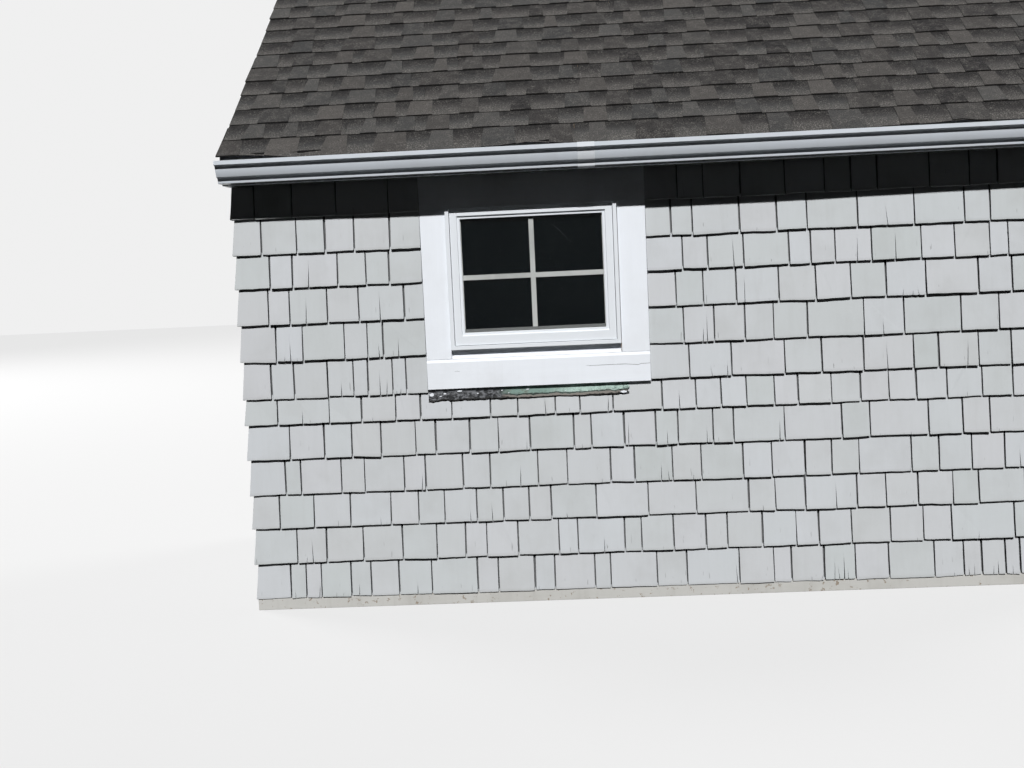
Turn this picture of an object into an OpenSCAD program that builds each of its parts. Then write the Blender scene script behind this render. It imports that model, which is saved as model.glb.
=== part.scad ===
// Shed dormer with a small four-light window, shingled walls and a K-style gutter.
// Millimetres, +Z up, X to the right along the front wall, the front faces -Y.
// The origin is the middle of the whole part's footprint, at the foot of the walls.

/* [Walls] */
// width of the front wall over the sheathing of both side walls
wall_w = 3320; // [3200:10:3500]
// height of the soffit's underside above the foot of the walls
soffit_h = 1684; // [1670:1:1760]
// depth of a stud, which is the thickness of the bare framed wall
stud_d = 89; // [80:1:100]
// thickness of the sheathing boards
sheath_t = 12; // [10:1:18]
// height of the painted base board at the foot
base_h = 45; // [40:1:60]
// thickness of the base board
base_t = 22; // [18:1:24]

/* [Wall shingles] */
// height of a course that stays in view
course_h = 137.7; // [134:0.1:139]
// thickness of the shingle layer at a butt edge
butt_t = 27; // [24:1:32]
// thickness of the shingle layer just under the next butt
lap_t = 15; // [12:1:18]

/* [Roof] */
// rise of the roof for each 12 units of run
rise = 8; // [7:0.25:9]
// number of roof courses from the eave to the ridge board
roof_courses = 17; // [15:1:19]
// part of a roof shingle that stays in view, measured up the slope
roof_course = 127; // [120:1:135]
// thickness of the roof shingles at a butt edge
roof_butt = 11; // [9:1:14]
// thickness of the roof shingles just under the next butt
roof_lap = 5; // [4:1:7]
// how far the fascia stands in front of the sheathing
eave_out = 131; // [120:1:150]
// depth of a rafter, square to the slope
rafter_d = 140; // [130:1:150]

/* [Window] */
// sideways place of the window's middle from the middle of the wall
win_x = -522.5; // [-700:0.5:300]
// height of the flat board between the window and the soffit
head_h = 125.5; // [120:0.5:145]
// clear width between the side casings
win_w = 661; // [620:1:700]
// clear height between the head board and the sloped sill
win_h = 560; // [530:1:570]
// width of the left side casing
casing_l = 100; // [80:1:120]
// width of the right side casing
casing_r = 110; // [80:1:120]
// thickness of the casing boards
casing_t = 29; // [28:1:34]
// height of the apron board under the sill
apron_h = 115; // [100:1:125]
// how far the window frame stands in front of the casing
frame_proud = 16; // [8:1:24]

/* [Gutter] */
// width of the gutter's top from the fascia to the front rim
gutter_w = 127; // [118:1:135]
// height of the gutter's front
gutter_h = 82; // [78:1:90]
// thickness of the gutter's metal
gutter_t = 1.6; // [1.2:0.1:2.4]

/* [Hidden] */
// pitch of the roof and its direction cosines
slope = rise / 12;
pitch = atan(slope);
cp = cos(pitch);
sp = sin(pitch);
// the roof's length on the slope and its run
roof_len = roof_courses * roof_course;
roof_run = roof_len * cp;
// the eave edge of the shingles stands this far in front of the fascia
eave_lip = 29;
// thickness of the gutter sleeve, which stands furthest forward
sleeve_t = 1.2;
// whole depth from the gutter's rim to the back, and the place of the sheathing's front face
front_out = eave_out + gutter_w + sleeve_t;
back_out = roof_run - eave_out - eave_lip;
wall_y = (front_out - back_out) / 2;
back_y = wall_y + back_out;
eave_y = wall_y - eave_out - eave_lip;
// half widths of the sheathing, the deck and the roof shingles, which run past the rake boards
rake_t = 28;
deck_over = 1;
roof_over = 9;
half = wall_w / 2;
deck_half = half + rake_t + deck_over;
roof_half = half + rake_t + roof_over;
// framing lumber
stud_t = 38;
stud_y = wall_y + sheath_t;
in_y = stud_y + stud_d;
side_x = half - sheath_t;
in_x = side_x - stud_d;
deck_t = 12;
// height of the deck's top at the eave edge, above the soffit
deck_over_soffit = 100;
deck_z0 = soffit_h + deck_over_soffit;
deck_v = deck_t / cp;
rafter_v = rafter_d / cp;
soffit_t = 8;
fascia_t = 19;
fascia_drop = 2;
drip_t = 1.2;
// height of the top of the front wall's plates, where the rafters' level seats rest
seat_z = under(in_y) - rafter_v;
// window unit, hung from the soffit's level
head_foot = soffit_h - head_h;
win_z = head_foot - win_h / 2;
frame_gap = 14;
frame_leg = 15;
frame_d = 83;
head_back = 24;
frame_h = win_h - frame_gap;
frame_z0 = win_z - win_h / 2 + frame_gap;
frame_y = wall_y - casing_t - frame_proud;
// width of the stop behind the sash, and the play between sash and frame
stop_w = 10;
sash_play = 1.5;
sash_w = win_w - 2 * frame_leg;
sash_h = frame_h - 2 * frame_leg;
sash_z0 = frame_z0 + frame_leg;
sash_y = frame_y + 7;
sash_d = 42;
stile = 41;
rail_top = 26;
rail_low = 50;
bead_w = 11;
bead_d = 7;
bead_draft = 0.7;
glass_w = sash_w - 2 * stile;
glass_h = sash_h - rail_top - rail_low;
glass_z0 = sash_z0 + rail_low;
glass_mid = glass_z0 + glass_h / 2;
rebate = 9;
pane_t = 3;
pane_gap = 12;
pane_y = sash_y + 16;
bar_w = 19;
bar_t = 6;
// the level bar hangs this far below the glass's middle
bar_low = 7;
// how much of the spacer shows at the foot of the glass, and at its other three sides
spacer_foot = 12.5;
spacer_show = 2;
// casing and sill levels
sill_top = win_z - win_h / 2;
sill_drop = 22;
apron_top = sill_top - sill_drop;
apron_foot = apron_top - apron_h;
// how far the sill and the apron board stand in front of the casing
sill_nose = 5;
// the sill's slope: where it starts behind the shingles' face, its drop at the nose and the nose's eased edge
sill_back = 10;
nose_drop = 11;
nose_ease = 2;
// height and depth of the bevel along the apron board's top edge
bevel_h = 12;
bevel_d = 7;
cas_x0 = win_x - win_w / 2 - casing_l;
cas_x1 = win_x + win_w / 2 + casing_r;
// how far each butt line sits off even spacing, from the foot upward, as on the old wall
settle = [0, 7, 11, 8, 12, 14, -12, -8, -2, 2, -4, -5];
// a course narrower than this at the top of a wall is left out, and the one below reaches up
least_course = 12;
// small clearance between pieces that only lie against each other
seat = 0.3;
// room left round the window's rough opening, and between its studs and the evenly spaced ones
rough_gap = 6;
// how far a cutting block runs past the piece that it cuts
through = 1;
// copper strip: how far it ends short of the right casing's edge, height of each leg, kick and thickness
copper_short = 68;
copper_leg = 18;
copper_kick = 18;
copper_t = 1.6;
// drip edge: flange on the deck, leg in front of the fascia and the space behind that leg
drip_flange = 47;
drip_leg = 24;
drip_kick = 3;
// framing layout: bays between studs and rafters, king studs beside the window
bays = 9;
bay = (2 * side_x - stud_t) / bays;
king_l = win_x - win_w / 2 - stud_t;
king_r = win_x + win_w / 2;
side_bays = 4;
side_bay = (back_y - in_y - stud_t) / side_bays;
plate_v = stud_t / cp;
tail_y = wall_y - eave_out + fascia_t;
ridge_y = back_y - stud_t;
// rake board
rake_v = 110 / cp;
// gutter front: heights of the foot, of the leaning face's two edges and of the rim's foot,
// depths of the two coves, lean of the face, width of the folded lip, and the rolled edges' depth and height
gutter_foot = 8;
face_low = 22.5;
face_top = 52;
rim_foot = 66;
low_cove = 18;
top_cove = 17.5;
face_lean = 13;
gutter_lip = 14;
roll = [0.7, 2.5];
// the gutter's back stands this far above its rim
gutter_back = 4;
arc_steps = 6;
gutter_step = low_cove + face_lean + top_cove;
// gutter sleeve and hangers
sleeve_x = -303;
sleeve_w = 63;
sleeve_back = 2;
hangers = 6;
hanger_w = 26;
hanger_t = 3;
// the gutter runs this far past the wall at each end
gutter_over = 20;
gutter_x = half + gutter_over;
rim_over_soffit = 83;
gutter_z = soffit_h + rim_over_soffit - gutter_h;
gutter_y = wall_y - eave_out;

// underside of the roof deck at a given y
function under(y) = deck_z0 - deck_v + (y - eave_y) * slope;
// top of the roof deck at a given y
function over(y) = deck_z0 + (y - eave_y) * slope;
// a point up the roof: s along the slope from the eave, t square to it above the deck
function on_roof(s, t) = [eave_y + s * cp - t * sp, deck_z0 + s * sp + t * cp];
// height of a butt line of the wall shingles, counted from the foot
function butt_z(i) = base_h + i * course_h + (i < len(settle) ? settle[i] : 0);
// outer saw-tooth edge of the wall shingles up to a height, as [stand-off, height] pairs
function teeth(top) = [for (i = [0 : 40]) if (butt_z(i) < top - least_course) each
  let (z1 = butt_z(i + 1) > top - least_course ? top : butt_z(i + 1),
    part = min(1, (z1 - butt_z(i)) / (butt_z(i + 1) - butt_z(i))))
  [[butt_t, butt_z(i)], [butt_t + (lap_t - butt_t) * part, z1]]];
// outer saw-tooth edge of the roof shingles
function roof_teeth() = [for (k = [0 : roof_courses - 1]) each
  [on_roof(k * roof_course, roof_butt), on_roof((k + 1) * roof_course, roof_lap)]];
// points on an oval arc with its own depth and height
function arc(cy, cz, ry, rz, a0, a1, n) = [for (i = [0 : n])
  let (a = a0 + (a1 - a0) * i / n) [cy + ry * cos(a), cz + rz * sin(a)]];

// a profile drawn in Y and Z, run along X from x0 to x1
module along_x(x0, x1, points) {
  translate([x0, 0, 0]) rotate([90, 0, 90]) linear_extrude(height = x1 - x0) polygon(points);
}

// a profile drawn in X and Z, run along Y from y0 to y1
module along_y(y0, y1, points) {
  translate([0, y1, 0]) rotate([90, 0, 0]) linear_extrude(height = y1 - y0) polygon(points);
}

// a plain board given by its two opposite corners
module board(a, b) {
  translate(a) cube([b[0] - a[0], b[1] - a[1], b[2] - a[2]]);
}

// the same piece on the right-hand side
module right_side() {
  mirror([1, 0, 0]) children();
}

// Framed walls

// ply sheathing of the front wall, cut out for the window
module front_sheathing() {
  color("burlywood") difference() {
    board([-half, wall_y, 0], [half, stud_y, soffit_h + soffit_t]);
    board([win_x - win_w / 2, wall_y - through, sill_top - rough_gap],
      [win_x + win_w / 2, stud_y + through, head_foot]);
  }
}

// ply sheathing of a side wall, cut to the roof's slope
module side_sheathing() {
  along_x(-half, -side_x, [[stud_y, 0], [back_y, 0], [back_y, under(back_y)], [stud_y, under(stud_y)]]);
}

module left_sheathing() {
  color("burlywood") side_sheathing();
}

module right_sheathing() {
  color("burlywood") right_side() side_sheathing();
}

// sole plate and doubled top plate of the front wall
module front_plates() {
  color("tan") {
    board([-side_x, stud_y, 0], [side_x, in_y, stud_t]);
    board([-side_x, stud_y, seat_z - 2 * stud_t], [side_x, in_y, seat_z]);
  }
}

// studs of the front wall: even spacing, king studs and short studs round the window
module front_stud(x, z0, z1) {
  board([x, stud_y, z0], [x + stud_t, in_y, z1]);
}
module front_studs() {
  color("tan") {
    for (i = [0 : bays]) let (x = -side_x + i * bay) {
      if (x + stud_t < king_l - rough_gap || x > king_r + stud_t + rough_gap) {
        front_stud(x, stud_t, seat_z - 2 * stud_t);
      }
    }
    front_stud(king_l, stud_t, seat_z - 2 * stud_t);
    front_stud(king_r, stud_t, seat_z - 2 * stud_t);
    front_stud(win_x - stud_t / 2, stud_t, sill_top - rough_gap - stud_t);
  }
}

// timber header over the window
module window_header() {
  color("tan") board([king_l + stud_t, stud_y, head_foot], [king_r, in_y, seat_z - 2 * stud_t]);
}

// rough sill under the window
module rough_sill() {
  color("tan") board([king_l + stud_t, stud_y, sill_top - rough_gap - stud_t],
    [king_r, in_y, sill_top - rough_gap]);
}

// sole plate and sloped top plate of a side wall
module side_plates() {
  board([-side_x, in_y, 0], [-in_x, back_y, stud_t]);
  z0 = under(in_y) - rafter_v;
  z1 = under(back_y) - rafter_v;
  along_x(-side_x, -in_x, [[in_y, z0 - plate_v], [back_y, z1 - plate_v], [back_y, z1], [in_y, z0]]);
}

module left_plates() {
  color("tan") side_plates();
}

module right_plates() {
  color("tan") right_side() side_plates();
}

// studs of a side wall, their heads cut to the slope
module side_studs() {
  for (i = [0 : side_bays]) let (y = in_y + i * side_bay) {
    along_x(-side_x, -in_x, [[y, stud_t], [y + stud_t, stud_t],
      [y + stud_t, under(y + stud_t) - rafter_v - plate_v], [y, under(y) - rafter_v - plate_v]]);
  }
}

module left_studs() {
  color("tan") side_studs();
}

module right_studs() {
  color("tan") right_side() side_studs();
}

// Roof

// rafters with level seats on the plates and plumb-cut tails behind the fascia
module rafters() {
  color("tan") for (i = [0 : bays]) let (x = -side_x + i * bay) {
    along_x(x, x + stud_t, [[tail_y, soffit_h + soffit_t], [tail_y, under(tail_y)], [ridge_y, under(ridge_y)],
      [ridge_y, under(ridge_y) - rafter_v], [in_y, seat_z], [stud_y, seat_z], [stud_y, soffit_h + soffit_t]]);
  }
}

// board that the rafters' heads are nailed to at the open back
module ridge_board() {
  color("tan") along_x(-side_x, side_x, [[ridge_y, under(ridge_y) - rafter_v],
    [back_y, under(back_y) - rafter_v], [back_y, under(back_y)], [ridge_y, under(ridge_y)]]);
}

// ply roof deck
module roof_deck() {
  y0 = gutter_y - drip_kick;
  color("burlywood") along_x(-deck_half, deck_half,
    [[y0, under(y0)], [back_y, under(back_y)], [back_y, over(back_y)], [y0, over(y0)]]);
}

// coursed shingle layer of the roof, each course thick at its butt and thin at its lap
module roof_shingles() {
  flange_y = gutter_y + drip_flange;
  color("dimgray") along_x(-roof_half, roof_half, concat([[back_y, over(back_y)], [flange_y, over(flange_y)],
    [flange_y, over(flange_y) + drip_t / cp], on_roof(0, drip_t)], roof_teeth()));
}

// metal drip edge, one leg on the deck and one down over the fascia
module drip_edge() {
  y0 = gutter_y - drip_kick;
  y1 = y0 - drip_t;
  y2 = gutter_y + drip_flange;
  color("white") along_x(-deck_half, deck_half, [[y2, over(y2)], [y0, over(y0)], [y0, over(y0) - drip_leg],
    [y1, over(y0) - drip_leg], [y1, over(y1) + drip_t / cp], [y2, over(y2) + drip_t / cp]]);
}

// painted fascia board with its top edge planed to the slope
module fascia() {
  color("white") along_x(-half, half, [[gutter_y, soffit_h - fascia_drop], [tail_y, soffit_h - fascia_drop],
    [tail_y, under(tail_y)], [gutter_y, under(gutter_y)]]);
}

// soffit board between the fascia and the wall
module soffit() {
  color("white") board([-half, tail_y, soffit_h], [half, wall_y, soffit_h + soffit_t]);
}

// rake board over the head of a side wall's shingles, closing the eave's end too
module rake_board() {
  along_x(-half - rake_t, -half, [[gutter_y, soffit_h - fascia_drop], [wall_y, soffit_h - fascia_drop],
    [wall_y, under(wall_y) - rake_v], [back_y, under(back_y) - rake_v], [back_y, under(back_y)],
    [gutter_y, under(gutter_y)]]);
}

module left_rake_board() {
  color("white") rake_board();
}

module right_rake_board() {
  color("white") right_side() rake_board();
}

// Gutter

// outer face of the K-style gutter: flat back and floor, then the moulded front with its
// foot, lower cove, leaning face with rolled edges, upper cove and folded rim
function gutter_outer() = let (w = gutter_w, h = gutter_h, floor_y = gutter_step - w,
  y0 = floor_y - low_cove, y1 = y0 - face_lean) concat(
  [[0, h + gutter_back], [0, 0], [floor_y, 0]],
  arc(y0, gutter_foot, low_cove, face_low - gutter_foot, 0, 80, arc_steps),
  [[y0 + roll[0] / 2, face_low + roll[1] / 4], [y0 - roll[0], face_low + roll[1]]],
  [[y1 + roll[0], face_top - roll[1]], [y1 + roll[0], face_top - roll[1] / 3]],
  arc(-w, face_top, top_cove, rim_foot - face_top, 8, 84, arc_steps),
  [[-w, rim_foot + roll[0]], [-w, h], [gutter_lip - w, h]]);
// direction of a vector, and a path given an even thickness to its inner side
function unit(v) = v / norm(v);
function sheet(p, t) = concat(p, [for (k = [len(p) - 1 : -1 : 0])
  let (a = k > 0 ? unit(p[k] - p[k - 1]) : unit(p[1] - p[0]),
    b = k < len(p) - 1 ? unit(p[k + 1] - p[k]) : a,
    m = unit([-(a[1] + b[1]), a[0] + b[0]]))
  p[k] - m * t / (m * [-a[1], a[0]])]);
// a gutter profile moved to its place on the fascia
function placed(p) = [for (q = p) [q[0] + gutter_y, q[1] + gutter_z]];

// the trough itself, one even sheet bent to the profile
module gutter_trough() {
  color("white") along_x(-gutter_x, gutter_x, placed(sheet(gutter_outer(), gutter_t)));
}

// flat end cap in the gutter's own outline
module gutter_end() {
  along_x(-gutter_x - gutter_t, -gutter_x, placed(gutter_outer()));
}

module gutter_left_end() {
  color("white") gutter_end();
}

module gutter_right_end() {
  color("white") right_side() gutter_end();
}

// sleeve round the outside of the gutter where two lengths meet
module gutter_sleeve() {
  outer = gutter_outer();
  front = concat([[-sleeve_back, 0]], [for (k = [2 : len(outer) - 1]) outer[k]]);
  color("white") along_x(sleeve_x - sleeve_w / 2, sleeve_x + sleeve_w / 2, placed(sheet(front, -sleeve_t)));
}

// hanger straps from the back of the gutter to the underside of its rim
module gutter_hangers() {
  color("silver") for (i = [0 : hangers - 1]) {
    x = -gutter_x + (i + 0.5) * 2 * gutter_x / hangers;
    board([x - hanger_w / 2, gutter_y - gutter_w + gutter_t, gutter_z + gutter_h - gutter_t - hanger_t],
      [x + hanger_w / 2, gutter_y - gutter_t, gutter_z + gutter_h - gutter_t]);
  }
}

// Wall shingles

// coursed shingle layer on the front wall from x0 to x1, up to a height
module front_layer(x0, x1, top) {
  along_x(x0, x1, concat([[wall_y, top], [wall_y, base_h]], [for (p = teeth(top)) [wall_y - p[0], p[1]]]));
}

module shingles_left_of_window() {
  color("lightgray") front_layer(-half, cas_x0, soffit_h);
}

module shingles_right_of_window() {
  color("lightgray") front_layer(cas_x1, half, soffit_h);
}

module shingles_below_window() {
  color("lightgray") front_layer(cas_x0, cas_x1, apron_foot);
}

// coursed layer on a side wall, carried round the front corner and cut under the rake board
module side_layer() {
  top = under(back_y) - rake_v;
  corner_z = soffit_h - fascia_drop;
  room = 2 * butt_t;
  intersection() {
    along_y(wall_y - room, back_y,
      concat([[-half, top], [-half, base_h]], [for (p = teeth(top)) [-half - p[0], p[1]]]));
    along_x(-half - room, -half + through, concat(
      [[back_y, top], [back_y, 0], [wall_y - through, 0]], [for (p = teeth(corner_z)) [wall_y - p[0], p[1]]],
      [[wall_y, corner_z], [wall_y, under(wall_y) - rake_v]]));
  }
}

module left_side_shingles() {
  color("lightgray") side_layer();
}

module right_side_shingles() {
  color("lightgray") right_side() side_layer();
}

// Base boards

module base_board() {
  color("white") board([-half - base_t, wall_y - base_t, 0], [half + base_t, wall_y, base_h]);
}

module side_base_board() {
  board([-half - base_t, wall_y, 0], [-half, back_y, base_h]);
}

module left_base_board() {
  color("white") side_base_board();
}

module right_base_board() {
  color("white") right_side() side_base_board();
}

// Window trim

module casing_left() {
  color("white") board([cas_x0, wall_y - casing_t, apron_top], [win_x - win_w / 2, wall_y, head_foot]);
}

module casing_right() {
  color("white") board([win_x + win_w / 2, wall_y - casing_t, apron_top], [cas_x1, wall_y, head_foot]);
}

// flat board over the window, the full width of the casing, up to the soffit
module head_board() {
  color("white") board([cas_x0, wall_y - casing_t, head_foot], [cas_x1, wall_y, soffit_h]);
}

// sloped sill between the side casings, with a tongue back over the rough sill
module window_sill() {
  nose = wall_y - casing_t - sill_nose;
  inner = frame_y + frame_d;
  ease_z = sill_top - nose_drop;
  color("white") along_x(win_x - win_w / 2, win_x + win_w / 2,
    [[nose, apron_top], [nose, ease_z], [nose + nose_ease, ease_z + nose_ease], [wall_y - sill_back, sill_top],
    [inner, sill_top], [inner, sill_top - rough_gap], [wall_y, sill_top - rough_gap], [wall_y, apron_top]]);
}

// board under the sill, its top edge bevelled to shed water
module apron_board() {
  face = wall_y - casing_t - sill_nose;
  color("white") along_x(cas_x0, cas_x1, [[wall_y, apron_foot], [face, apron_foot],
    [face, apron_top - bevel_h], [face + bevel_d, apron_top], [wall_y, apron_top]]);
}

// grey packing strip in the gap between the frame and the sill
module gap_strip() {
  color("gray") board([win_x - win_w / 2, wall_y - sill_back, sill_top],
    [win_x + win_w / 2, frame_y + frame_d, frame_z0]);
}

// Window unit

// an upright block centred on the window, given its width, height from z0, and y range
module block(w, z0, h, y0, y1) {
  board([win_x - w / 2, y0, z0], [win_x + w / 2, y1, z0 + h]);
}

// a block whose width and height shrink from the front face to the back face
module tapered(w0, h0, w1, h1, zc, y0, y1) {
  skin = 0.01;
  hull() {
    block(w0, zc - h0 / 2, h0, y0, y0 + skin);
    block(w1, zc - h1 / 2, h1, y1 - skin, y1);
  }
}

// outer frame with a pocket for the sash and a stop behind it; its head stands back between the jambs
module window_frame() {
  color("white") difference() {
    block(win_w, frame_z0, frame_h, frame_y, frame_y + frame_d);
    block(sash_w, sash_z0, frame_h, frame_y - through, frame_y + head_back);
    block(sash_w, sash_z0, sash_h, frame_y - through, sash_y + sash_d);
    block(sash_w - 2 * stop_w, sash_z0 + stop_w, sash_h - 2 * stop_w, frame_y - through,
      frame_y + frame_d + through);
  }
}

// sash with a stepped bead round the glass and a rebate behind for the sealed unit
module sash() {
  bead_x = glass_w + 2 * bead_w;
  bead_z = glass_h + 2 * bead_w;
  color("white") difference() {
    block(sash_w - 2 * sash_play, sash_z0 + sash_play, sash_h - 2 * sash_play, sash_y, sash_y + sash_d);
    block(glass_w, glass_z0, glass_h, sash_y - through, sash_y + sash_d + through);
    tapered(bead_x + 2 * bead_draft, bead_z + 2 * bead_draft, bead_x, bead_z, glass_mid,
      sash_y - 0.01, sash_y + bead_d);
    block(glass_w + 2 * rebate, glass_z0 - rebate, glass_h + 2 * rebate, pane_y, sash_y + sash_d + through);
  }
}

module pane(y) {
  block(glass_w + 2 * rebate, glass_z0 - rebate, glass_h + 2 * rebate, y, y + pane_t);
}

module outer_pane() {
  color("lightblue") pane(pane_y);
}

module inner_pane() {
  color("lightblue") pane(pane_y + pane_t + pane_gap);
}

// metal spacer round the sealed unit with the flat bars that divide it into four
module window_bars() {
  y0 = pane_y + pane_t;
  yc = y0 + pane_gap / 2;
  color("gainsboro") {
    difference() {
      block(glass_w + 2 * rebate, glass_z0 - rebate, glass_h + 2 * rebate, y0, y0 + pane_gap);
      block(glass_w - 2 * spacer_show, glass_z0 + spacer_foot, glass_h - spacer_foot - spacer_show,
        y0 - through, y0 + pane_gap + through);
    }
    block(bar_w, glass_z0, glass_h, yc - bar_t / 2, yc + bar_t / 2);
    block(glass_w, glass_mid - bar_low - bar_w / 2, bar_w, yc - bar_t / 2, yc + bar_t / 2);
  }
}

// Flashing

// copper strip tucked under the apron board, hanging on the butts and kicked out at its foot
module copper_apron() {
  back = wall_y - butt_t - seat;
  top = apron_foot - seat;
  color("darkseagreen") along_x(cas_x0, cas_x1 - copper_short, sheet([[back, top], [back, top - copper_leg],
    [back - copper_kick, top - 2 * copper_leg]], copper_t));
}

front_sheathing();
left_sheathing();
right_sheathing();
front_plates();
front_studs();
window_header();
rough_sill();
left_plates();
left_studs();
right_plates();
right_studs();
rafters();
ridge_board();
roof_deck();
roof_shingles();
drip_edge();
fascia();
soffit();
left_rake_board();
right_rake_board();
gutter_trough();
gutter_left_end();
gutter_right_end();
gutter_sleeve();
gutter_hangers();
shingles_left_of_window();
shingles_right_of_window();
shingles_below_window();
left_side_shingles();
right_side_shingles();
base_board();
left_base_board();
right_base_board();
casing_left();
casing_right();
head_board();
window_sill();
apron_board();
gap_strip();
window_frame();
sash();
outer_pane();
inner_pane();
window_bars();
copper_apron();
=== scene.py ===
# %% [markdown]
# # A shed dormer in painted shingles
# This lesson dresses a small dormer: a shingled front wall with a four-light window, flat white casings, a
# moulded white gutter and a steep roof of laminated asphalt shingles. The shapes that carry everything come
# packed from CAD as a fixed frame. Here each board gets softened edges, each wall and roof gets its single
# shingles, and each surface gets a procedural finish. Nothing here changes a size of the frame.

import math
import random

import bmesh
import bpy
from mathutils import Matrix, Vector, noise


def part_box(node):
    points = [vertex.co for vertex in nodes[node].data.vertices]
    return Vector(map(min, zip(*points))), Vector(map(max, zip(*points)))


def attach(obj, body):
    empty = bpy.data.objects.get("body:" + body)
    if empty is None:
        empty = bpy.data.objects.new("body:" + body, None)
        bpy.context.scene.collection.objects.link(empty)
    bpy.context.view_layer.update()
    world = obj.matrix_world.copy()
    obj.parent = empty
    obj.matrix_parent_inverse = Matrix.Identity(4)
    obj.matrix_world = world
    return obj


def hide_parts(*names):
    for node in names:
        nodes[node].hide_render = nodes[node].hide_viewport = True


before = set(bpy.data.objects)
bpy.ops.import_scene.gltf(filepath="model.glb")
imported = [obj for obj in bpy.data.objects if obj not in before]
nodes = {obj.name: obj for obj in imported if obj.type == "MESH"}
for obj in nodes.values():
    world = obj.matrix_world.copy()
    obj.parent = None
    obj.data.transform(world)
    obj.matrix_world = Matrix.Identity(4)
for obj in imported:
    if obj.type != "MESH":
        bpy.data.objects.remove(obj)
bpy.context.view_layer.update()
print("nodes in the frame:", len(nodes))

# %% [markdown]
# ## Measures taken from the frame
# A joiner reads sizes off the work before cutting a board. The lowest and highest corners of a few nodes
# give the planes that later pieces sit on: the face of the sheathing, the foot of the lowest butts, the
# casing's edges and the roof's width. Reading them here keeps every later piece on the frame.

# %% Read the main planes
MM = 0.001
sheath_lo, sheath_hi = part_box("front_sheathing")
wall_y, half = sheath_lo[1], sheath_hi[0]
back_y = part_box("left_sheathing")[1][1]
soffit_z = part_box("soffit")[0][2]
base_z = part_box("base_board")[1][2]
apron_lo, apron_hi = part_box("apron_board")
cas_x0, cas_x1 = apron_lo[0], apron_hi[0]
apron_foot, apron_face = apron_lo[2], apron_lo[1]
frame_lo, frame_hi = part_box("window_frame")
roof_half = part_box("roof_shingles")[1][0]
print("wall face y", round(wall_y, 4), "half width", half, "casing", round(cas_x0, 4), round(cas_x1, 4))

# %% [markdown]
# ## Camera
# The picture was taken from a little below the eave, turned slightly to the left, with the camera tilted. A
# camera is placed by a point and three directions, so these are worked out from the heading, the tilt and
# the roll, and set as a matrix. The lens is found from the picture's own perspective.

# %% Place the camera
CAMERA_AT = Vector((-0.3949, -5.6542, 1.3337))
HEADING, TILT, ROLL = math.radians(-2.655), math.radians(-5.361), math.radians(2.665)
FOCAL_PX, PICTURE_PX, SENSOR = 1270.0, 1024, 36


def camera_matrix(at, heading, tilt, roll):
    """Turns a heading, tilt and roll into the camera's place and directions."""
    ahead = Vector((math.sin(heading) * math.cos(tilt), math.cos(heading) * math.cos(tilt), math.sin(tilt)))
    right = Vector((math.cos(heading), -math.sin(heading), 0))
    down = ahead.cross(right)
    tilted_right = right * math.cos(roll) + down * math.sin(roll)
    tilted_down = down * math.cos(roll) - right * math.sin(roll)
    turn = Matrix((tilted_right, -tilted_down, -ahead)).transposed().to_4x4()
    return Matrix.Translation(at) @ turn


def show(thing):
    """Puts an object in the scene."""
    bpy.context.scene.collection.objects.link(thing)
    return thing


camera_data = bpy.data.cameras.new("camera")
camera = show(bpy.data.objects.new("camera", camera_data))
camera.matrix_world = camera_matrix(CAMERA_AT, HEADING, TILT, ROLL)
camera_data.sensor_width = SENSOR
camera_data.lens = FOCAL_PX / PICTURE_PX * SENSOR
bpy.context.scene.camera = camera
print("lens in mm", round(camera_data.lens, 2))

# %% [markdown]
# ## Node helpers
# A finish is a graph of small nodes. One helper draws a wire and one adds a node with its inputs. The next
# ones are the steps that every finish repeats: a sum, a soft threshold, a mix, and a coat, which is a mix
# whose mask is thinned by a strength, as a painter thins a wash.

# %% Helpers for shader nodes


def join(value, socket):
    """Draws a wire from one node's output to another node's input."""
    value.id_data.links.new(value, socket)


def put(tree, kind, inputs=None, **settings):
    """Adds a node. inputs maps a socket's name or number to a value or to another node's output."""
    made = tree.nodes.new(kind)
    for name, value in settings.items():
        setattr(made, name, value)
    for name, value in (inputs or {}).items():
        if isinstance(value, bpy.types.NodeSocket):
            join(value, made.inputs[name])
        else:
            made.inputs[name].default_value = value
    return made


def maths(operation, a, b=0.0, clamp=False):
    """One sum on values, of which at least one comes from a node."""
    tree = a.id_data if isinstance(a, bpy.types.NodeSocket) else b.id_data
    return put(tree, "ShaderNodeMath", {0: a, 1: b}, operation=operation, use_clamp=clamp).outputs[0]


def times(a, b):
    return maths("MULTIPLY", a, b)


def ramp(value, low, high, out_low=0.0, out_high=1.0):
    """Maps a value's range low..high smoothly onto out_low..out_high."""
    made = put(value.id_data, "ShaderNodeMapRange", {0: value, 1: low, 2: high, 3: out_low, 4: out_high})
    made.interpolation_type = "SMOOTHSTEP"
    return made.outputs[0]


def blend_colour(share, a, b):
    """Mixes two colours by a share."""
    inputs = {0: share}
    for slot, colour in ((6, a), (7, b)):
        inputs[slot] = colour if isinstance(colour, bpy.types.NodeSocket) else (*colour, 1.0)
    return put(share.id_data, "ShaderNodeMix", inputs, data_type="RGBA", clamp_factor=True).outputs[2]


def coat(under, mask, strength, colour):
    """Lays a colour over another where a mask says, and no thicker than a strength."""
    return blend_colour(times(mask, strength), under, colour)


def grey(level):
    return (level, level, level)


def noise_at(where, scale, detail=3.0, roughness=0.55):
    """Plain noise read at a place."""
    inputs = {"Vector": where, "Scale": scale, "Detail": detail, "Roughness": roughness}
    return put(where.id_data, "ShaderNodeTexNoise", inputs).outputs[0]


def stretched(where, scale):
    """The same place with each axis scaled, which draws a pattern out along the small one."""
    return put(where.id_data, "ShaderNodeMapping", {"Vector": where, "Scale": scale}).outputs[0]


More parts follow.
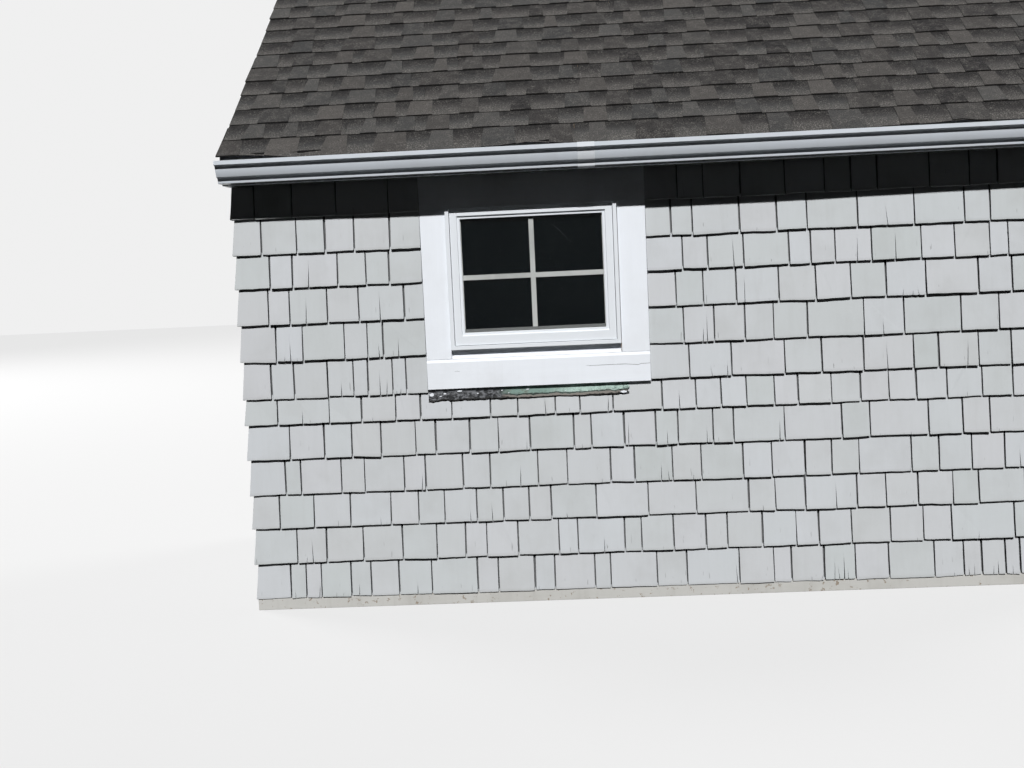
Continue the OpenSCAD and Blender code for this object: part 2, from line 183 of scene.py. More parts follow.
def along_axis(where, axis):
    """How far a place lies along X, Y or Z, which are 0, 1 and 2."""
    return put(where.id_data, "ShaderNodeSeparateXYZ", {0: where}).outputs[axis]


print("node helpers ready")

# %% [markdown]
# ## Shared effects
# Wood grain is noise drawn out along the board. Grime is soft blotches with streaks that run down. Worn
# paint is a ragged mask that opens to the wood. Granules are fine bright and dark grains. Each is a group
# with named inputs and outputs, because several finishes use it with different sizes and strengths.

# %% Opening a group
HERE = (0.0, 0.0, 0.0)


def open_group(name, outputs, **inputs):
    """Starts a node group. Each input is given with its first value, and a triple makes a vector input."""
    tree = bpy.data.node_groups.new(name, "ShaderNodeTree")
    for title, value in inputs.items():
        kind = "NodeSocketVector" if isinstance(value, tuple) else "NodeSocketFloat"
        socket = tree.interface.new_socket(title, in_out="INPUT", socket_type=kind)
        socket.default_value = value
    for title in outputs:
        tree.interface.new_socket(title, in_out="OUTPUT", socket_type="NodeSocketFloat")
    return tree, tree.nodes.new("NodeGroupInput").outputs, tree.nodes.new("NodeGroupOutput").inputs


print("groups can be opened")

# %% Group: wood grain


def make_grain_group():
    tree, given, out = open_group("wood_grain", ("Grain", "Height"), Place=HERE, Fineness=1.0, Knots=0.3)
    wander = put(tree, "ShaderNodeTexNoise", {"Vector": given["Place"], "Scale": 1.4, "Detail": 2.0})
    pull = {0: wander.outputs["Color"], "Scale": given["Knots"]}
    pulled = put(tree, "ShaderNodeVectorMath", pull, operation="SCALE").outputs[0]
    bent = put(tree, "ShaderNodeVectorMath", {0: given["Place"], 1: pulled}, operation="ADD").outputs[0]
    broad = noise_at(bent, 2.2, 4.0, 0.6)
    fine = noise_at(bent, times(given["Fineness"], 9.0), 5.0, 0.65)
    both = maths("ADD", times(broad, 0.6), times(fine, 0.4))
    join(ramp(both, 0.36, 0.64), out["Grain"])
    join(fine, out["Height"])
    return tree


grain_group = make_grain_group()
print("group", grain_group.name)

# %% Group: grime


def make_grime_group():
    tree, given, out = open_group("grime", ("Mask",), Place=HERE, Size=3.0, Streaks=0.5)
    blots = noise_at(given["Place"], given["Size"], 6.0, 0.62)
    runs = noise_at(stretched(given["Place"], (34, 34, 1.6)), 1.0, 3.0)
    streaks = times(ramp(runs, 0.5, 0.75), given["Streaks"])
    join(maths("ADD", ramp(blots, 0.42, 0.75), streaks, clamp=True), out["Mask"])
    return tree


grime_group = make_grime_group()
print("group", grime_group.name)

# %% Group: worn paint


def make_worn_group():
    tree, given, out = open_group("worn_paint", ("Bare",), Place=HERE, Wear=0.2, Size=20.0)
    patch = noise_at(given["Place"], given["Size"], 8.0, 0.7)
    level = maths("SUBTRACT", 0.78, times(given["Wear"], 0.5))
    over = maths("SUBTRACT", patch, level)
    join(ramp(over, 0.0, 0.012), out["Bare"])
    return tree


worn_group = make_worn_group()
print("group", worn_group.name)

# %% Group: mineral granules


def make_granule_group():
    tree, given, out = open_group("granules", ("Light", "Dark", "Height"), Place=HERE, Size=420.0)
    spread = {"Vector": given["Place"], "Scale": given["Size"]}
    cells = put(tree, "ShaderNodeTexVoronoi", spread, feature="F1")
    pick = put(tree, "ShaderNodeSeparateColor", {0: cells.outputs["Color"]})
    join(ramp(pick.outputs[0], 0.72, 0.9), out["Light"])
    join(ramp(pick.outputs[1], 0.6, 0.85), out["Dark"])
    join(maths("SUBTRACT", 1.0, cells.outputs["Distance"]), out["Height"])
    return tree


granule_group = make_granule_group()
print("group", granule_group.name)

# %% Helpers for finishes


def start_finish(name, roughness, shine=0.5):
    """A new material with its shader and the place on the object, in metres."""
    finish = bpy.data.materials.new(name)
    finish.use_nodes = True
    shader = finish.node_tree.nodes["Principled BSDF"]
    shader.inputs["Roughness"].default_value = roughness
    shader.inputs["Specular IOR Level"].default_value = shine
    return finish, shader, put(finish.node_tree, "ShaderNodeTexCoord").outputs["Object"]


def use(group, **values):
    """Places a shared group in a finish with its own values."""
    return put(values["Place"].id_data, "ShaderNodeGroup", values, node_tree=group).outputs


def paint(shader, colour):
    """Gives the surface its colour."""
    join(colour, shader.inputs["Base Color"])


def roughen(shader, mask, low, high):
    """Lets the roughness follow a mask from low to high."""
    join(ramp(mask, 0.0, 1.0, low, high), shader.inputs["Roughness"])


def emboss(shader, height, distance, strength=1.0):
    """Presses a height pattern into the surface."""
    inputs = {"Height": height, "Strength": strength, "Distance": distance}
    join(put(shader.id_data, "ShaderNodeBump", inputs).outputs[0], shader.inputs["Normal"])


def attribute(shader, name):
    """A number kept on each point of a mesh."""
    settings = {"attribute_name": name, "attribute_type": "GEOMETRY"}
    return put(shader.id_data, "ShaderNodeAttribute", **settings).outputs["Fac"]


def shuffled(number):
    """A second number for each shingle, drawn from its tint."""
    return maths("FRACT", times(number, 7.3))


print("finish helpers ready")

# %% [markdown]
# ## Helpers for pieces
# Every piece rides on the part's one body and takes its finish. A sawn board never has a knife-sharp
# edge, so a dressed copy of a frame node gets its edges rounded: the copy is cleaned to flat faces, then each
# sharp edge is bevelled in the mesh itself.

# %% Helpers for pieces
WELD, FLAT, SHARP = 0.01 * MM, math.radians(0.6), math.radians(32)


def keep(name, mesh, finish, stands_for=()):
    """Makes an object of a mesh, gives it a finish and fixes it to the frame."""
    mesh.materials.append(finish)
    piece = show(bpy.data.objects.new(name, mesh))
    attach(piece, "root")
    if stands_for:
        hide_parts(*stands_for)


def rounded_copy(node, radius, steps, smooth, reshape):
    """A copy of a frame node's mesh with its sharp edges rounded. reshape may move its corners first."""
    mesh = nodes[node].data.copy()
    mesh.materials.clear()
    work = bmesh.new()
    work.from_mesh(mesh)
    bmesh.ops.remove_doubles(work, verts=work.verts, dist=WELD)
    bmesh.ops.dissolve_limit(work, angle_limit=FLAT, verts=work.verts, edges=work.edges)
    if reshape:
        for vert in work.verts:
            vert.co = reshape(*vert.co)
    edges = [e for e in work.edges if len(e.link_faces) == 2 and e.calc_face_angle(0) > SHARP]
    bevel = {"offset": radius, "segments": steps, "profile": 0.5, "affect": "EDGES", "clamp_overlap": True}
    bmesh.ops.bevel(work, geom=edges, **bevel)
    bmesh.ops.recalc_face_normals(work, faces=work.faces)
    for face in work.faces:
        face.smooth = smooth > 0
    work.to_mesh(mesh)
    work.free()
    if smooth > 0:
        mesh.set_sharp_from_angle(angle=math.radians(smooth))
    return mesh


def dress(names, finish, radius, steps=2, smooth=0.0, reshape=None):
    """Puts rounded copies in the place of frame nodes. radius is in millimetres, smooth in degrees."""
    for node in names.split():
        mesh = rounded_copy(node, radius * MM, steps, smooth, reshape)
        keep(node + "_dressed", mesh, finish, [node])


print("piece helpers ready")

# %% [markdown]
# ## Shingle stock
# A shingle, on a wall or on a roof, is a thin slab with a ragged outline that lies on a slope: thick at its
# butt and thin under the next course. One helper builds such a slab from an outline, a front depth and a
# back depth, with a small chamfer round the front face. Thousands of separate objects would be slow, so
# each wall and each roof collects its slabs in one stock, which then becomes one mesh. The stock keeps
# three numbers for the finish on each point: a tint that is the same over a slab, the rise from butt to
# lap, and an edge mark.

# %% Helpers for slabs
HAIRPIN = 0.2


def new_stock():
    return {"points": [], "faces": [], "tint": [], "rise": [], "edge": []}


def shrink(outline, by):
    """Moves each point of an outline inward by about the same distance."""
    out = []
    for k, (u, v) in enumerate(outline):
        u0, v0 = outline[k - 1]
        u1, v1 = outline[(k + 1) % len(outline)]
        come = Vector((u - u0, v - v0)).normalized()
        go = Vector((u1 - u, v1 - v)).normalized()
        inward = Vector((-(come.y + go.y), come.x + go.x))
        if inward.length < HAIRPIN:
            inward = Vector((-come.y, come.x))
        inward.normalize()
        out.append((u + inward.x * by, v + inward.y * by))
    return out


def add_slab(stock, place, outline, front, back, chamfer, tint, v0, v1, flare=0.0, crease=None):
    """Adds one slab. outline runs anticlockwise in (u, v), v0 and v1 are the butt and the lap line.
    flare widens its back, and crease names two points of the outline between which its faces may bend."""
    base, count = len(stock["points"]), len(outline)
    rings = [
        [(u, v, front(u, v)) for u, v in shrink(outline, chamfer)],
        [(u, v, front(u, v) - chamfer) for u, v in outline],
        [(u, v, back(u, v)) for u, v in shrink(outline, -flare)],
    ]
    for depth, ring in enumerate(rings):
        for u, v, d in ring:
            stock["points"].append(place(u, v, d))
            stock["tint"].append(tint)
            stock["rise"].append((v - v0) / (v1 - v0))
            stock["edge"].append(depth / 2)
    parts = [list(range(count))]
    if crease:
        a, b = crease
        parts = [list(range(a + 1)) + list(range(b, count)), list(range(a, b + 1))]
    for part in parts:
        stock["faces"].append([base + k for k in part])
        stock["faces"].append([base + 2 * count + k for k in reversed(part)])
    for ring in (0, 1):
        for k in range(count):
            n = (k + 1) % count
            a, b = base + ring * count, base + (ring + 1) * count
            stock["faces"].append([a + n, a + k, b + k, b + n])


def stock_mesh(stock, name, flip=False):
    """Turns a stock into one mesh, with its three numbers kept on the points."""
    mesh = bpy.data.meshes.new(name)
    faces = [list(reversed(f)) for f in stock["faces"]] if flip else stock["faces"]
    mesh.from_pydata(stock["points"], [], faces)
    for key in ("tint", "rise", "edge"):
        mesh.attributes.new(key, "FLOAT", "POINT").data.foreach_set("value", stock[key])
    mesh.update()
    return mesh


def share_of(value):
    """Keeps a value between 0 and 1."""
    return min(1.0, max(0.0, value))


def ripple(*where):
    """Smooth noise at three numbers, between about -1 and 1."""
    return noise.noise(Vector(where))


print("slab helpers ready")

# %% [markdown]
# ## Shingles of the front wall
# The wall is clad in cedar shingles of random widths under many coats of paint. Each one is a tapered slab,
# about twelve millimetres thick at its butt, and its upper part runs on under the next course, so a joint
# shows the course behind it. Butts sit a little out of line, some stand proud and some are split. At the
# corners the front shingles run past the ends of the side ones. A flat pattern in a texture would miss the
# shadows and the outline, so every shingle is real here.

# %% Courses, butt lines and the roof's slope
COURSE = 137.7 * MM
BUTT, LAP, FLARE = 27.0 * MM, 14.0 * MM, 1.6 * MM
CLEAR, SOFFIT_GAP = 1 * MM, 3 * MM
# the roof's slope with its cosine and sine, then the deck and the rake board measured straight down
SLOPE, RCOS, RSIN = 8 / 12, 0.83205, 0.5547
DECK_V, RAKE_V = 0.012 / RCOS, 0.110 / RCOS
EAVE_Y, DECK_Z0 = wall_y - 0.160, soffit_z + 0.100
FRONT_COURSES, SIDE_COURSES = 12, 20
# how far each butt line strays from an even spacing, in mm from the foot upward
SETTLE = [0, 7, 11, 8, 12, 14, -12, -8, -2, 2, -4, -5] + [0] * 14
BUTTS = [base_z + i * COURSE + settle * MM for i, settle in enumerate(SETTLE)]


def butts_beside(heights):
    """The butt lines with measured ones, in mm, from the seventh course to the soffit."""
    return BUTTS[:6] + [z * MM for z in heights] + BUTTS[FRONT_COURSES:]


# the two sides of the window were not laid quite level with each other
LEFT_BUTTS = butts_beside((850, 998, 1142, 1283, 1416, 1555))
RIGHT_BUTTS = butts_beside((868, 1004, 1148, 1288, 1419, 1555))
print("front courses:", [round(z / MM) for z in BUTTS[: FRONT_COURSES + 1]])

# %% Joints and splits of the front wall
# for each course from the foot, in mm: the joints, then the splits as (place, height)
MEASURED = [
    (
        [442, 569, 690, 821, 997, 1110, 1180, 1271, 1327],
        [(519, 20), (557, 30), (608, 90), (627, 60), (646, 110), (661, 50)]
        + [(1072, 20), (1129, 40), (1149, 50), (1222, 40), (1241, 60), (1297, 40)],
    ),
    ([552, 679, 829, 957, 1065, 1307], [(1166, 30)]),
    ([386, 502, 702, 815, 937, 1072, 1171], [(622, 110)]),
    ([264, 376, 505, 607, 713, 915, 1019, 1146, 1271], [(1330, 80)]),
    ([231, 430, 651, 758, 982, 1112, 1216], [(409, 90)]),
    ([189, 286, 394, 485, 613, 724, 833, 937, 1054, 1187], []),
    (
        [-1569, -1479, -1347, -1244, -1188, -1090, -1038, 69, 231, 437, 579, 739, 929, 1024, 1176, 1300],
        [(-1294, 60), (-1141, 110), (-1116, 70), (-1075, 20), (-1062, 25)]
        + [(156, 50), (215, 60), (829, 115), (1131, 115)],
    ),
    (
        [-1542, -1436, -1272, -1181, -1120, 51, 168, 287, 397, 527, 742, 894, 1110, 1253],
        [(-1510, 25), (-1485, 90), (-1136, 60), (-1061, 80), (124, 60), (141, 125), (526, 100), (815, 60)],
    ),
    (
        [-1561, -1478, -1330, -1206, -1029, 26, 131, 258, 421, 562, 696, 829, 979, 1176, 1303],
        [(-1415, 110), (-1124, 120), (289, 120), (890, 30), (927, 20), (951, 35)],
    ),
    (
        [-1545, -1459, -1282, -1171, -1081, 55, 153, 290, 463, 545, 639, 776, 964, 1089, 1221, 1290],
        [(-1397, 110), (252, 130), (721, 110), (866, 120)],
    ),
    ([-1572, -1435, -1324, -1210, -1071, 16, 97, 278, 420, 534, 726, 939, 1126, 1223], [(838, 90)]),
    ([-1592, -1445, -1274, -1071, 44, 142, 285, 454, 604, 703, 801, 997, 1146, 1251], []),
]
# a shingle's usual width, its spread, and its least and greatest width
SHINGLE_WIDE = (127 * MM, 34 * MM, 62 * MM, 205 * MM)
# how far joints keep from those below, how often such a place is tried for, the length from which a stretch
# gets a joint, and the shortest end piece
OFFSET, TRIES, WHOLE, STUB = 22 * MM, 30, 0.2, 0.06
# a known joint nearer to an end is left out, and a longer stretch than UNSEEN gets random joints
NEAR_END, UNSEEN = 0.03, 0.26


def drawn(rng, usual, spread, least, most):
    """A random size near the usual one, held between the least and the most."""
    return min(max(rng.gauss(usual, spread), least), most)


def fill_joints(x0, x1, below, rng):
    """Random joints between two ends, kept clear of the joints of the course below."""
    joints, x = [], x0
    while x1 - x > WHOLE:
        for _ in range(TRIES):
            trial = x + drawn(rng, *SHINGLE_WIDE)
            if all(abs(trial - j) > OFFSET for j in below):
                break
        if x1 - trial < STUB:
            break
        joints.append(trial)
        x = trial
    return joints


def course_joints(x0, x1, below, rng, known=()):
    """All joints of a course from x0 to x1: the known ones, and random ones in the stretches without."""
    fixed = [x0] + [j for j in known if x0 + NEAR_END < j < x1 - NEAR_END] + [x1]
    out = []
    for a, b in zip(fixed, fixed[1:]):
        out += [a] + (fill_joints(a, b, below, rng) if b - a > UNSEEN else [])
    return out + [x1]


print("joints measured:", sum(len(joints) for joints, splits in MEASURED))

# %% One shingle's outline
CUT_IN, CUT_UP = 1.8 * MM, 2.2 * MM


def ragged_line(a, b, count, wobble, seed):
    """Points from a to b with a little noise square to the line. b is left out."""
    out = []
    along = Vector((b[0] - a[0], b[1] - a[1]))
    side = Vector((-along.y, along.x)).normalized()
    for k in range(count):
        f = k / count
        shift = ripple(seed, f * along.length * 28, 0.3) * wobble * min(1.0, 6 * f, 6 * (1 - f) + 0.4)
        out.append((a[0] + along.x * f + side.x * shift, a[1] + along.y * f + side.y * shift))
    return out


def split_butt(butt, at, tall, v, rng):
    """Opens a split in a butt line: a thin, wandering notch."""
    near = [k for k in range(1, len(butt)) if abs(butt[k][0] - at) < 3.5 * MM]
    k = near[0] if near else next((k for k in range(len(butt)) if butt[k][0] > at), len(butt))
    for j in reversed(near):
        del butt[j]
    wide = rng.uniform(0.9, 1.7) * MM * (1.0 if tall > 50 * MM else 0.6)
    drift = rng.gauss(0, 1.8) * MM
    rising = [(at - wide, v), (at - wide * 0.5 + drift, v + tall * 0.5), (at + drift * 1.6, v + tall)]
    butt[k:k] = rising + [(at + wide * 0.5 + drift, v + tall * 0.45), (at + wide, v)]


def shingle_outline(left, right, v0, v1, rng, splits, detail):
    """left and right give u at a height. The outline runs anticlockwise from the butt's left corner."""
    seed = rng.uniform(0, 999)
    sag = rng.gauss(0, 1.1) * MM
    lean = rng.gauss(0, 1.0) * MM
    a = (left(v0), v0 + sag + lean)
    b = (right(v0), v0 + sag - lean)
    butt = ragged_line(a, b, max(3, int((b[0] - a[0]) / (16 * MM / detail))), 1.6 * MM, seed)
    for at, tall in splits:
        split_butt(butt, at, tall, v0 + sag, rng)

    def sawn(side, f, row):
        return side(v0 + (v1 - v0) * f) + ripple(seed + row, f * 3, 1) * 1.1 * MM

    up = max(3, int(4 * detail))
    right_side = [(sawn(right, k / up, 7), v0 + sag - lean + (v1 - v0 - sag) * (k / up)) for k in range(up)]
    right_side[0] = (right_side[0][0], right_side[0][1] + CUT_UP)
    butt[0] = (butt[0][0] + CUT_IN, butt[0][1])
    butt.append((right_side[0][0] - CUT_IN, b[1]))
    left_side = [(sawn(left, 1 - k / up, 17), v0 + (v1 - v0) * (1 - k / up)) for k in range(up)]
    return butt + right_side + [(right(v1), v1)] + left_side + [(left(v0), a[1] + CUT_UP)]


def clip_outline(outline, keep_side):
    """Cuts an outline by a line. keep_side(u, v) is positive on the side that stays."""
    out = []
    for k, p in enumerate(outline):
        q = outline[(k + 1) % len(outline)]
        a, b = keep_side(*p), keep_side(*q)
        if a >= 0:
            out.append(p)
        if (a >= 0) != (b >= 0):
            f = a / (a - b)
            out.append((p[0] + (q[0] - p[0]) * f, p[1] + (q[1] - p[1]) * f))
    return out


print("outline helpers ready")

# %% How a wall stands


def bulge(u, v):
    """The old wall leans out a little at its upper left, and less at its upper right."""
    rise = share_of((v - 0.35) / 0.9)
    return rise * (25 * MM * share_of((-0.45 - u) / 1.1) + 9 * MM * share_of((u - 0.5) / 0.7))


def level(u, v):
    """A true wall has no bulge."""
    return 0.0


def above_base(u, v):
    """Positive above the base board, where the undercourse may show."""
    return v - base_z


def front_place(u, v, d):
    """A point on the front: u along it, v up it, d out from the boards."""
    return (u, wall_y - d, v)


def side_place(side):
    """The same for a side wall, which is the left one for -1 and the right one for 1."""
    return lambda u, v, d: (side * (half + d), u, v)


def stop_at(u0, u1, v0):
    """A shingle stops under the apron board if it meets it, or else under the soffit."""
    meets = v0 < apron_foot - 20 * MM and u0 < cas_x1 and u1 > cas_x0
    return apron_foot - CLEAR if meets else soffit_z


print("bulge at the upper left in mm", round(bulge(-half, soffit_z) / MM, 1))

# %% Lay one course
CHAMFER = 0.9 * MM
SPLIT_RATE = 0.15


def lay_course(
    stock, place, z, z_next, joints, top, rng, ends=(), limit=None, detail=1.0, splits=None, lean_out=level
):
    """Lays one course of wall shingles. ends names the ends that run past a corner."""
    tall, last = z_next - z, len(joints) - 2

    def thick(v):
        return BUTT - (BUTT - LAP) * (v - z) / tall

    for k, (u0, u1) in enumerate(zip(joints, joints[1:])):
        v1 = min(z + tall + COURSE + 4 * MM, top(u0, u1, z))
        gap_l, gap_r = rng.uniform(1.8, 3.9) * MM, rng.uniform(1.8, 3.9) * MM
        proud = rng.triangular(-1.5, 4.5, 0.5) * MM
        twist = rng.gauss(0, 1.3) * MM / max(u1 - u0, 0.06)
        tilt = rng.gauss(0, 0.006)

        def face(u, v):
            stand = (proud + twist * (u - (u0 + u1) / 2)) * max(0.0, 1 - (v - z) / tall)
            return max(1.6 * MM, thick(v) + stand) + lean_out(u, v)

        def rear(u, v):
            return max(0.4 * MM, thick(v) - BUTT + LAP - 2.6 * MM) + 0.7 * lean_out(u, v)

        def left(v):
            if k > 0:
                return u0 + gap_l + tilt * (v - z)
            return u0 - (thick(v) if "left" in ends else 0.0)

        def right(v):
            if k < last:
                return u1 - gap_r + tilt * (v - z)
            return u1 + (thick(v) if "right" in ends else 0.0)

        if (k == 0 and "left" in ends) or (k == last and "right" in ends):
            v1 = min(v1, soffit_z - SOFFIT_GAP)
        if splits is None:
            split = rng.random() < SPLIT_RATE and u1 - u0 > 0.06
            cracks = [(rng.uniform(u0 + 0.02, u1 - 0.02), rng.uniform(0.02, 0.11))] if split else []
        else:
            cracks = [(u, h) for u, h in splits if u0 + gap_l + 6 * MM < u < u1 - gap_r - 6 * MM]
        outline = shingle_outline(left, right, z, v1, rng, cracks, detail)
        if limit:
            outline = clip_outline(outline, limit)
        if len(outline) > 3:
            add_slab(stock, place, outline, face, rear, CHAMFER, rng.random(), z, z_next, FLARE)


print("a course can be laid")

# %% Lay the front wall
BELOW_WINDOW = 6
rng = random.Random(41)
front_stock = new_stock()
hidden_joints = course_joints(-half, half, [], rng)
hidden = {"limit": above_base, "splits": []}
lay_course(front_stock, front_place, base_z - COURSE, base_z, hidden_joints, stop_at, rng, **hidden)
below = []
for i, (seen_joints, seen_splits) in enumerate(MEASURED):
    known = [x * MM for x in seen_joints]
    marks = [(x * MM, h * MM) for x, h in seen_splits]
    if i < BELOW_WINDOW:
        runs = [(-half, half, BUTTS, ("left", "right"))]
        marks += [(rng.uniform(-1.6, 0.3), rng.uniform(0.02, 0.11)) for n in range(5)]
    else:
        beside_left = (-half, cas_x0 - CLEAR, LEFT_BUTTS, ("left",))
        runs = [beside_left, (cas_x1 + CLEAR, half, RIGHT_BUTTS, ("right",))]
    laid = []
    for x0, x1, lines, ends in runs:
        joints = course_joints(x0, x1, below, rng, known)
        laid += joints[1:-1]
        z_next = min(lines[i + 1], apron_foot + 6 * MM) if i == BELOW_WINDOW - 1 else lines[i + 1]
        given = {"ends": ends, "splits": marks, "lean_out": bulge}
        lay_course(front_stock, front_place, lines[i], z_next, joints, stop_at, rng, **given)
    below = laid
print("front wall: faces", len(front_stock["faces"]))

# %% [markdown]
# ## Shingles of the side walls
# The sides repeat the front's courses at the same heights, since a shingler carries each line round the
# corner. They are cut along the roof's slope under the rake board. The same stock helper builds them: only
# the function that turns a place on the wall into a point in space is different, and the left wall is the
# mirror image of the right one, so its faces are turned round.

# %% Lay the side walls
SIDE_STOP = back_y - FLARE - CLEAR
# how far under the roof's plane the upper side courses start, measured straight down
RAKE_CUT = RAKE_V + 14.4 * MM


def under_rake(y):
    """Height of the rake board's foot at a depth."""
    return DECK_Z0 - DECK_V + (y - EAVE_Y) * SLOPE - RAKE_V


def side_limit(u, v):
    """Positive where a side shingle clears the rake board, or the soffit in front of the wall."""
    return (soffit_z - SOFFIT_GAP if u < wall_y else under_rake(u) - CLEAR) - v


def side_start(side, z):
    """Where a side course begins: behind the front's shingles, or higher up at the rake board."""
    if z < soffit_z - 50 * MM:
        return wall_y - bulge(side * half, z)
    return max(wall_y, EAVE_Y + (z + RAKE_CUT - DECK_Z0) / SLOPE)


def lay_side(side, seed):
    """Lays one side wall, from the base board up to the rake board."""
    rng, stock, below = random.Random(seed), new_stock(), []
    place, highest = side_place(side), under_rake(back_y)

    def top(u0, u1, v0):
        return highest

    first = course_joints(wall_y, SIDE_STOP, [], rng)
    hidden = {"limit": above_base, "detail": 0.8, "splits": []}
    lay_course(stock, place, base_z - COURSE, base_z, first, top, rng, **hidden)
    for z, z_next in zip(BUTTS[:SIDE_COURSES], BUTTS[1:]):
        if z > highest - 20 * MM:
            break
        joints = course_joints(side_start(side, z), SIDE_STOP, below, rng)
        below = joints[1:-1]
        lay_course(stock, place, z, z_next, joints, top, rng, limit=side_limit, detail=0.8)
    return stock


left_stock, right_stock = lay_side(-1, 52), lay_side(1, 63)
print("side walls: faces", len(left_stock["faces"]), len(right_stock["faces"]))

# %% [markdown]
# ## Felt behind the shingles
# Builders cover the sheathing with tarred felt before the shingles go on, so a wide joint shows black and
# not bare plywood. It hangs in lapped sheets, each a thin slab just off the boards.

# %% Hang the felt
FELT, FELT_OFF, SHEET_WIDE = 0.36 * MM, 0.1 * MM, 0.9
WAVES = 24


def lay_felt(stock, place, u0, u1, v0, v1, limit=None):
    """Lapped sheets of felt over a stretch of wall."""
    v = v0
    while v < v1 - CLEAR:
        foot = []
        for j in range(WAVES + 1):
            foot.append((u0 + (u1 - u0) * j / WAVES, v + ripple(j * 0.7, v, 9.0) * 1.5 * MM * (v > v0)))
        outline = foot + [(u1, min(v + SHEET_WIDE, v1)), (u0, min(v + SHEET_WIDE, v1))]
        if limit:
            outline = clip_outline(outline, limit)
        if len(outline) > 3:
            flat = (lambda u, v: FELT, lambda u, v: FELT_OFF)
            add_slab(stock, place, outline, *flat, 0.05 * MM, 0.5, v, v + 1.0)
        v += SHEET_WIDE


front_felt, left_felt, right_felt = new_stock(), new_stock(), new_stock()
lay_felt(front_felt, front_place, -half, half, base_z, apron_foot)
lay_felt(front_felt, front_place, -half, cas_x0 + 10 * MM, apron_foot, soffit_z)
lay_felt(front_felt, front_place, cas_x1 - 10 * MM, half, apron_foot, soffit_z)
for side, stock in ((-1, left_felt), (1, right_felt)):
    top = under_rake(back_y)
    lay_felt(stock, side_place(side), wall_y, back_y, base_z, top, lambda u, v: under_rake(u) - CLEAR - v)
felt_finish, shader, place = start_finish("tarred_felt", 0.9, 0.05)
pitch_black, dusty_black = grey(0.008), (0.022, 0.021, 0.02)
paint(shader, blend_colour(noise_at(place, 60.0, 4.0), pitch_black, dusty_black))
emboss(shader, noise_at(place, 240.0, 2.0), 0.2 * MM)
for name, stock in (("front_felt", front_felt), ("left_felt", left_felt), ("right_felt", right_felt)):
    keep(name, stock_mesh(stock, name, flip=name == "left_felt"), felt_finish)
print("felt hung on three walls")

# %% [markdown]
# ## Painted shingle finish
# Old paint on cedar is a soft pale grey. It is matt, it keeps the fine ridges of the wood below, and it is
# a little darker where dirt gathers above each butt. The sides and undersides of a shingle are painted nearly
# black: dirty bare wood deep in the joints, and painted shade where no light reaches. Every shingle weathers
# on its own, so a tint from the stock shifts each one slightly, and fine checks run up from some butts.

# %% Material: painted shingle
UPRIGHT_RIDGES, UPRIGHT_CHECKS = (26, 26, 1.1), (150, 150, 2.6)


def make_shingle_paint(name, bright_beyond):
    """Painted cedar. Ends that lie further out along X than bright_beyond are painted too, and not dark."""
    finish, shader, place = start_finish(name, 0.62, 0.05)
    tint, rise, edge = attribute(shader, "tint"), attribute(shader, "rise"), attribute(shader, "edge")
    shift = put(place.id_data, "ShaderNodeCombineXYZ", {0: times(tint, 37.0), 1: times(tint, 11.0)})
    moved = {0: place, 1: shift.outputs[0]}
    own = put(place.id_data, "ShaderNodeVectorMath", moved, operation="ADD").outputs[0]
    grain = use(grain_group, Place=stretched(own, UPRIGHT_RIDGES), Fineness=1.6, Knots=0.25)
    grime = use(grime_group, Place=own, Size=5.0, Streaks=0.35)
    worn = use(worn_group, Place=own, Wear=0.1, Size=34.0)
    base = blend_colour(tint, (0.505, 0.535, 0.54), (0.55, 0.57, 0.595))
    base = coat(base, shuffled(tint), 0.5, (0.545, 0.545, 0.56))
    base = coat(base, grain["Grain"], 0.08, (0.40, 0.41, 0.40))
    base = coat(base, grime["Mask"], 0.16, (0.30, 0.30, 0.28))
    base = coat(base, ramp(rise, 0.10, 0.0), 0.16, (0.22, 0.22, 0.20))
    base = coat(base, ramp(rise, 1.04, 1.09), 0.85, grey(0.05))
    checks = noise_at(stretched(own, UPRIGHT_CHECKS), 1.0, 1.0, 0.5)
    line = times(ramp(checks, 0.74, 0.78), ramp(rise, 0.6, 0.1))
    base = coat(base, line, 0.55, (0.12, 0.12, 0.11))
    chipped = times(worn["Bare"], ramp(rise, 0.25, 0.02))
    base = blend_colour(chipped, base, (0.26, 0.22, 0.18))
    outward = maths("ABSOLUTE", along_axis(place, 0))
    within = ramp(outward, bright_beyond, bright_beyond - 2 * MM, 0.0, 0.95)
    # the sides and butt undersides, marked by the edge number, are painted nearly black: dirty bare wood in
    # the joints, and painted shade
    paint(shader, coat(base, ramp(edge, 0.5, 0.68), within, grey(0.012)))
    roughen(shader, grime["Mask"], 0.55, 0.78)
    height = maths("SUBTRACT", times(grain["Height"], 0.6), times(line, 1.2))
    emboss(shader, maths("SUBTRACT", height, times(chipped, 0.5)), 1.1 * MM, 0.6)
    return finish


front_paint = make_shingle_paint("shingle_paint_front", half + 9 * MM)
side_paint = make_shingle_paint("shingle_paint_side", half + 1.0)
front_nodes = ["shingles_left_of_window", "shingles_right_of_window", "shingles_below_window"]
WALLS = (
    ("front_wall_shingles", front_stock, front_paint, front_nodes),
    ("left_wall_shingles", left_stock, side_paint, ["left_side_shingles"]),
    ("right_wall_shingles", right_stock, side_paint, ["right_side_shingles"]),
)
for name, stock, finish, stands_for in WALLS:
    keep(name, stock_mesh(stock, name, flip=stock is left_stock), finish, stands_for)
print("painted shingles on", len(WALLS), "walls")

# %% [markdown]
# ## Roof shingles
# A laminated roof shingle is two sheets of felt and asphalt. The back sheet is whole, and the front one is
# cut into wide teeth, so the roof shows raised tabs beside recessed fields. Factory granules are blended
# darker at the top of each recess to deepen the shadow. Both sheets are modelled as slabs, with the cut
# ends between strips, a gently waving butt line and black cut edges.

# %% The roof's plane and its old eave
ROOF_COURSE, COURSES = 127 * MM, 17
RIDGE = COURSES * ROOF_COURSE
FREE_EDGE, DROOP = 31 * MM, 17 * MM
